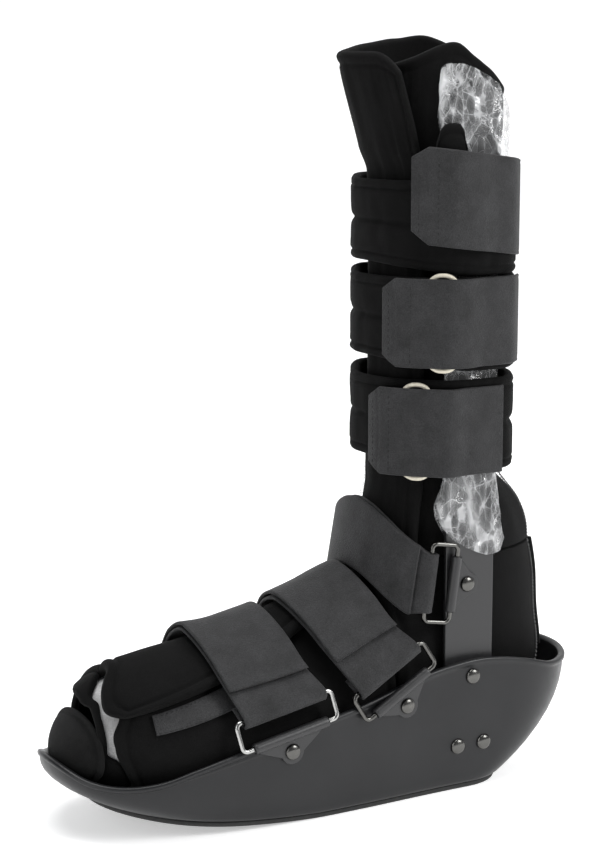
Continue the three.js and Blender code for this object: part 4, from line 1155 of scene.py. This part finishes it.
def leg_grid(rows, cols):
    """The leg wrap: more than one turn, lapped in front and leaning forward there near the top."""
    grid = []
    for u in clustered(rows, 0.7):
        row = []
        for up in seam_stations(cols, 0.7, 0.0012):
            angle = lerp(LEG_START, LAP_END, u)
            turned = ease(angle, LAP_END - 22, LAP_END + 1)
            corner = COLLAR_CORNER * (1 - math.sqrt(1 - turned**2))
            rise = COLLAR_RISE * ease(math.cos(rad(angle)), -0.1, 0.5)
            z = lerp(INSTEP_Z + SEAT, LINER_HEIGHT * collar_share(angle) + rise - corner, up)
            x, y, _ = leg_point(z, angle, LAP * (ease(angle, 508, 548) - 1) + SLACK + LINER_WALL)
            behind = ease(math.cos(rad(angle)), -0.45, 0.05) * heel_blend(z)
            heel_x, heel_y, _ = heel_outside(90, angle - 90)
            x, y = lerp(x, heel_x, behind), lerp(y, heel_y, behind)
            lean = ease(angle, 470, 530) * ease(z, FRONT_FLAP_BASE, LINER_HEIGHT)
            row.append((x - FRONT_FLAP_LEAN * lean, y, z))
        grid.append(row)
    return grid


def leg_puff(u, v, along, across):
    """The hems of the leg wrap, and long soft creases in its cloth."""
    hem = rolled_edge(5, 0.4, 0.7, 0.0)(u, v, along, across if v > 0.5 else 1e3)
    crease = 0.9 * cloth_noise(u * 26, v * 3.2, 3) + 0.45 * cloth_noise(u * 60, v * 9, 7)
    return hem + crease * min(along / 12, 1) * min(across / 12, 1)


padded_piece(
    "leg_wrap", leg_grid(190, 120), -LINER_WALL, LINER_WALL, lambda p: (LEG_X, 0, p[2]), ["leg_liner"],
    puff=leg_puff, ends=(0.3, 3),
)

# Toe cap

CAP_ROWS = [
    (0, 0.15, 1, 0), (0.12, 0.33, 0.82, 0.16), (0.35, 0.58, 0.5, 0.46), (0.65, 0.8, 0.2, 0.78),
    (1, 1, 0, 1),
]
cap_half_share, cap_low, cap_top = (column(CAP_ROWS, k) for k in (1, 2, 3))
CAP_HALF = half_width(share_at(CAP_REAR)) - WALL - 2 * SLACK
CAP_SIDES = 72
# Shares along the cap of its plain outer and inner rings
CAP_OUTER = (0, 0.02, 0.05, 0.09, 0.14, 0.2, 0.28, 0.36, 0.45, 0.54, 0.63, 0.72)
CAP_INNER = (0.8, 0.6, 0.4, 0.25)
# The sewn groove and rolled rear edge: share along the cap, and inset
CAP_ROLLED = [
    (0.78, 0.7), (0.815, 1.2), (0.85, 0.5), (0.9, -0.4), (0.95, -0.3), (0.985, 0.6), (1.0, 2.4),
    (0.99, 4.6), (0.94, CAP_WALL),
]


def cap_ring(at, inset):
    """Points round the toe cap at a share along it, a way in from its outside."""
    bottom = lerp(CAP_FOOT, CAP_TIP, 0.7 * cap_low(at)) + inset
    top = lerp(CAP_TIP + 5, CAP_TOP, cap_top(at)) - inset
    middle, rise = (bottom + top) / 2, (top - bottom) / 2
    half = CAP_HALF * cap_half_share(at) - inset
    x = CAP_FRONT + CAP_ROLL * at + inset * (1 - at)
    ring = []
    for k in range(CAP_SIDES):
        a = 2 * math.pi * k / CAP_SIDES
        ring.append((x, half * bent(math.sin(a), 2.2), middle + rise * math.cos(a)))
    return ring


def make_cap():
    rings = [cap_ring(at, 0) for at in CAP_OUTER]
    rings += [cap_ring(at, inset) for at, inset in CAP_ROLLED]
    rings += [cap_ring(at, CAP_WALL) for at in CAP_INNER]
    points, faces = stacked(rings)
    made = piece("toe_bumper", points, faces, NAP, ["toe_cap"])


make_cap()

# Stitches

# Share along a thread, depth below its line and size there
THREAD_ROWS = [(0, 0.5, 0.4), (0.15, 0.1, 1), (0.5, 0, 1.15), (0.85, 0.1, 1), (1, 0.5, 0.4)]
THREAD_SIDES = 6


def dashes(name, places, material, radius):
    """Stitches: short round threads, each between two points, with their ends turned in."""
    points, faces = [], []
    for a, b, out in places:
        a, b, out = Vector(a), Vector(b), Vector(out).normalized()
        way = (b - a).normalized()
        side = way.cross(out)
        first = len(points)
        for t, drop, size in THREAD_ROWS:
            centre = a.lerp(b, t) - out * drop
            for k in range(THREAD_SIDES):
                turn = rad(360 / THREAD_SIDES * k)
                points.append(centre + (side * math.cos(turn) + out * math.sin(turn)) * radius * size)
        for face in ring_faces(len(THREAD_ROWS), THREAD_SIDES):
            faces.append(tuple(first + k for k in face[::-1]))
    piece(name, points, faces, material)


def run_along(line, outs, pitch=3.4, length=2.2):
    """Stitch places along a line of points, with the way out at each."""
    places, travelled = [], 0.0
    line = [Vector(p) for p in line]
    lengths = [0.0]
    for a, b in zip(line, line[1:]):
        lengths.append(lengths[-1] + (b - a).length)

    def point(s):
        i = 0
        while i < len(lengths) - 2 and lengths[i + 1] < s:
            i += 1
        t = (s - lengths[i]) / max(lengths[i + 1] - lengths[i], 1e-6)
        return line[i].lerp(line[i + 1], t), Vector(outs[i])

    while travelled + length < lengths[-1]:
        (a, out), (b, _) = point(travelled), point(travelled + length)
        places.append((a, b, out))
        travelled += pitch
    return places


hook_grid = [
    [foot_point(x, right_edge(x) + lerp(18, 2, t), SLACK + SEAT) for t in clustered(12)]
    for x in (FOOT_FRONT + 5 + 48 * u for u in clustered(36))
]
slab_piece("hook_tape", hook_grid, 0, 1.2, foot_core, WEB, "webbing", ["hook_strip"], radius=0.5)
hook_sewing = []
for turn in (16.4, 3.6):
    xs = [FOOT_FRONT + 6 + 46 * k / 24 for k in range(25)]
    line = [foot_point(x, right_edge(x) + turn, SLACK + SEAT + 1.3) for x in xs]
    outs = [np.array(p) - np.array(foot_core(p)) for p in line]
    hook_sewing += run_along(line, outs, 3.0, 2.0)
dashes("hook_sewing", hook_sewing, STITCH, 0.25)

SEAM_ANGLE, SEAM_HALF, THREAD_ANGLE = 258, 1.1, 238
seam_grid = []
for u in clustered(70):
    x, y, z = heel_outside(lerp(60, 88.5, u), SEAM_ANGLE, 1.5 * SLACK - 1)
    seam_grid.append([(x, y + lerp(-SEAM_HALF, SEAM_HALF, t), z) for t in clustered(6)])
slab_piece(
    "heel_seam", seam_grid, 0, 2.4, lambda p: (0, 0, p[2]), NAP, "velour", ["back_seam"], radius=0.8
)


def seam_line(offset):
    """Down the back of the leg and heel, a little to the left: places and the way out."""
    line = []
    for k in range(40):
        z = lerp(LOWER_PAD - 2, INSTEP_Z + 2, k / 39)
        x, y, _ = leg_point(z, THREAD_ANGLE + 90, offset + SLACK)
        hx, hy, _ = heel_outside(90, THREAD_ANGLE, offset)
        line.append((lerp(x, hx, heel_blend(z)), lerp(y, hy, heel_blend(z)), z))
    for k in range(60):
        line.append(heel_outside(lerp(89, 46, k / 59), THREAD_ANGLE, offset))
    return line


def overlock():
    """Slanted pale threads over the seam's edge, close together."""
    line = [Vector(p) for p in smooth_line(seam_line(0.4), 3)]
    places, carried = [], 0.0
    for a, b in zip(line, line[1:]):
        carried += (b - a).length
        if carried < 1.9:
            continue
        carried = 0.0
        way = (b - a).normalized()
        out = Vector((a.x - LEG_X, a.y, 0)).normalized()
        side = way.cross(out).normalized()
        reach = 1.5 + 0.5 * noise.noise(a * 0.9)
        places.append((a - side * reach, a + side * reach + way * 0.9, out))
    return places


dashes("heel_overlock", overlock(), THREAD, 0.42)

# Calf bands

TONGUE_ANGLE, TONGUE_TURN, TONGUE_LEAN, PAD_RISE = 243, 11, 2.5, 7


def pad_grid(bottom, tongue, rows=132, cols=56):
    """A calf band, which may have a rounded tongue on its upper edge."""
    grid = []
    for i in range(rows):
        angle = 360 * i / rows
        near = clamp(1 - (abs(angle - TONGUE_ANGLE) / (TONGUE_TURN + 3)) ** 3.2)
        up = tongue * math.sqrt(near) if tongue else 0
        low = bottom + PAD_RISE * max(-math.cos(rad(angle)), 0) ** 2
        row = []
        for v in clustered(cols, 0.55):
            z = lerp(low, bottom + PAD_HEIGHT, v) + up * v**3
            row.append(pad_point(z, angle, TONGUE_LEAN * v**3 if up else 0))
        grid.append(row)
    return grid


def channels(seed):
    """Two sewn channels between narrow hems, puckered along the stitching."""

    def puff(u, v, _, across):
        sewn = ridge(across, 1.0, 5.2, 0.9) + ridge(v, 1.7, 0.5, 0.028)
        swell = 0.7 * abs(math.sin(2 * math.pi * v)) ** 0.5
        pucker = cloth_noise(u * 150, 0, seed) * ridge(v, 0.3, 0.5, 0.12)
        folds = 0.7 * cloth_noise(u * 46, v * 2.2, seed) + 0.35 * cloth_noise(u * 90, v * 6, seed)
        return swell - sewn + pucker + folds - 0.7

    return puff


# Name, height of the pad, strap's height on it and width, angles of its ends, slant, ring's angle
BANDS = [
    ("lower", LOWER_PAD, 24, CALF_STRAP, 196, 290, 0, 223),
    ("middle", MIDDLE_PAD, 28, CALF_STRAP, 204, 312, 0, 237),
    ("upper", UPPER_PAD, 46, TOP_CALF_STRAP, 220, 311, 9, 247),
]


# Places of the stitch rows behind a strap's end, the length they are shares of, and their margin
SEWN_ROWS, STRAP_RUN, SEWN_MARGIN = (3.0, 10.5), 68, 2.5


def leg_core(p):
    return (LEG_X, 0, p[2])


def make_band(name, bottom, up, width, start, end, drop, bulge):
    """A padded band with its strap, the strap's stitches and, on all but the upper band, the ring under
    it.
    """
    tongue = PAD_TONGUE if name == "upper" else 0
    padded_piece(
        f"band_{name}", pad_grid(bottom, tongue), 0, PAD_THICKNESS, leg_core, [f"calf_pad_{name}"],
        loop=True, radius=2.6, puff=channels(bottom),
    )

    def strap_point(u, across, margin, extra):
        """A point of the strap: u along it, across it from -1 to 1 within a margin."""
        angle = lerp(start, end, u)
        over = (2 * CALF_WIRE + SLACK + SEAT) * (1 - ease(abs(angle - bulge), 16, 36))
        chamfer = width / 8 * (1 - clamp(u * (end - start) / 9))
        z = bottom + up - drop * u + across * (width / 2 - chamfer - margin)
        return pad_point(z, angle, PAD_THICKNESS + SEAT + over + extra)

    grid = [
        [strap_point(u, 2 * t - 1, 0, 0) for t in clustered(27, 0.7)] for u in clustered(90, 0.6)
    ]

    def hem(u, v, along, across):
        return -ridge(across, 0.22, 2.4, 0.7) - (ridge(along, 0.3, 10, 0.8) if u < 0.5 else 0)

    slab_piece(
        f"calf_webbing_{name}", grid, 0, WEBBING, leg_core, WEB, "webbing", [f"calf_strap_{name}"],
        radius=0.8, puff=hem,
    )
    sewing = []
    for distance in SEWN_ROWS:
        u = distance / STRAP_RUN
        line = [strap_point(u, 2 * k / 39 - 1, SEWN_MARGIN, WEBBING) for k in range(40)]
        sewing += run_along(line, [(x - LEG_X, y, 0) for x, y, _ in line])
    dashes(f"calf_sewing_{name}", sewing, STITCH, 0.3)
    if name != "upper":
        reach = PAD_THICKNESS + CALF_WIRE + 2 * SEAT
        z = bottom + up
        before, centre, after = (Vector(pad_point(z, bulge + turn, reach)) for turn in (-4, 0, 4))
        wide = (after - before).normalized()
        height = width + 2 * CALF_WIRE + 2 * SEAT
        corner = CALF_LOOP_WIDTH * 0.45
        path = rounded_path(centre, wide, Vector((0, 0, 1)), CALF_LOOP_WIDTH, height, corner, 10)
        tube(path, CALF_WIRE, 12, f"ring_{name}", IVORY, [f"calf_loop_{name}"])


for band in BANDS:
    make_band(*band)

# Film sleeves

SLEEVE_ROWS = [(0, 1), (0.07, 1), (0.13, 0), (0.77, 0), (0.85, 1), (1, 1)]
sleeve_wide = column(SLEEVE_ROWS, 1)
SLEEVE_AROUND, SLEEVE_ALONG, SLEEVE_CORNER = 130, 220, 16
# Noise scales of the film's broad and small folds, and of its sideways sway
BROAD_FOLDS, SMALL_FOLDS, SWAY = 0.07, 0.19, 0.11


def make_sleeve(side, name):
    """A crumpled film sleeve round an upright: wide at both ends, drawn in between them."""
    middle = (UPRIGHT_OUTER + UPRIGHT_INNER) / 2
    half_thick = UPRIGHT_THICKNESS / 2 + SEAT + 0.1
    points = []
    for i in range(SLEEVE_AROUND):
        a = 2 * math.pi * i / SLEEVE_AROUND
        u, v = bent(math.cos(a), 4), bent(math.sin(a), 3)
        for j in range(SLEEVE_ALONG):
            at = j / (SLEEVE_ALONG - 1)
            wide = clamp(sleeve_wide(at))
            z = lerp(SLEEVE_FOOT, SLEEVE_TOP, at) - SLEEVE_SLANT * wide * (u + 1) / 2
            end = min(at, 1 - at) * (SLEEVE_TOP - SLEEVE_FOOT)
            corner = max(1 - end / SLEEVE_CORNER, 0) ** 2
            width = lerp(SQUEEZED, SLEEVE_WIDTH, wide) * (1 - 0.12 * corner)
            z += (7 if at < 0.5 else -7) * corner * abs(u) ** 3
            x = UPRIGHT_X + u * width / 2
            here = (x, v * 9, z)
            fold = 1 - abs(wave(here, BROAD_FOLDS, 4 + side)) * 2.2
            small = 1 - abs(wave(here, SMALL_FOLDS, 9)) * 2.4
            stand = 0.7 + 2.3 * max(fold, 0) ** 2 + 1.0 * max(small, 0) ** 2
            y = side * middle + v * (half_thick + wide * stand)
            points.append((x + wide * 1.2 * wave(here, SWAY, 21), y, z))
    faces = []
    for i in range(SLEEVE_AROUND):
        a, b = i * SLEEVE_ALONG, (i + 1) % SLEEVE_AROUND * SLEEVE_ALONG
        for j in range(SLEEVE_ALONG - 1):
            faces.append((a + j, b + j, b + j + 1, a + j + 1))
    piece(f"film_{name}", points, faces, CLEAR, [f"sleeve_{name}"])


for side_name, side in SIDES:
    make_sleeve(side, side_name)

# Stage

TARGET = Vector((-84, 0, 212)) * MM
AZIMUTH, ELEVATION, DISTANCE, FOCAL_PIXELS, FRAME_HEIGHT = -28, 10, 1.25, 2205, 859
camera_data = bpy.data.cameras.new("camera")
camera_data.sensor_width = 36
camera_data.lens = 36 * FOCAL_PIXELS / FRAME_HEIGHT
camera_data.clip_start, camera_data.clip_end = 0.05, 20
camera = bpy.data.objects.new("camera", camera_data)
scene.collection.objects.link(camera)
a, e = rad(AZIMUTH), rad(ELEVATION)
back = Vector((math.sin(a) * math.cos(e), -math.cos(a) * math.cos(e), math.sin(e)))
camera.location = TARGET + back * DISTANCE
camera.rotation_euler = back.to_track_quat("Z", "Y").to_euler()
scene.camera = camera


def pale_material():
    material, _, _, bsdf, _ = shader("pale")
    set_surface(bsdf, Base_Color=(0.93, 0.93, 0.93, 1), Roughness=0.8)
    set_surface(bsdf, Emission_Color=(1, 1, 1, 1), Emission_Strength=0.42)
    return material


def make_backdrop():
    """A pale floor that turns up, in a wide curve, into a wall far behind the boot."""
    depth, wall, bend, steps = 3.5, 5.0, 1.5, 24
    profile = [(-6.0, 0.0)]
    for k in range(steps + 1):
        turn = rad(90) * k / steps
        profile.append((depth - bend + bend * math.sin(turn), bend - bend * math.cos(turn)))
    profile.append((depth, wall))
    points = [(x, y, z) for y, z in profile for x in (-9.0, 9.0)]
    faces = [(2 * i, 2 * i + 1, 2 * i + 3, 2 * i + 2) for i in range(len(profile) - 1)]
    mesh = bpy.data.meshes.new("backdrop")
    mesh.from_pydata(points, [], faces)
    mesh.polygons.foreach_set("use_smooth", [True] * len(faces))
    mesh.materials.append(pale_material())
    made = bpy.data.objects.new("backdrop", mesh)
    made.rotation_euler = (0, 0, rad(AZIMUTH))
    scene.collection.objects.link(made)


make_backdrop()


def area_light(name, place, aim, size, power):
    data = bpy.data.lights.new(name, "AREA")
    data.shape = "RECTANGLE"
    data.size, data.size_y = size
    data.energy = power
    light = bpy.data.objects.new(name, data)
    light.location = place
    light.rotation_euler = (Vector(place) - Vector(aim)).to_track_quat("Z", "Y").to_euler()
    scene.collection.objects.link(light)


area_light("key", (1.1, -1.5, 1.3), (0, 0, 0.2), (0.9, 1.2), 38)
area_light("fill", (-1.9, -0.7, 0.9), (-0.1, 0, 0.15), (0.8, 1.4), 11)
area_light("top", (-0.3, 0.1, 2.0), (-0.1, 0, 0.2), (1.2, 1.2), 27)
world = bpy.data.worlds.new("world")
world.use_nodes = True
world.node_tree.nodes["Background"].inputs["Color"].default_value = (0.95, 0.97, 1.0, 1)
world.node_tree.nodes["Background"].inputs["Strength"].default_value = 0.3
scene.world = world
scene.view_settings.view_transform = "Standard"
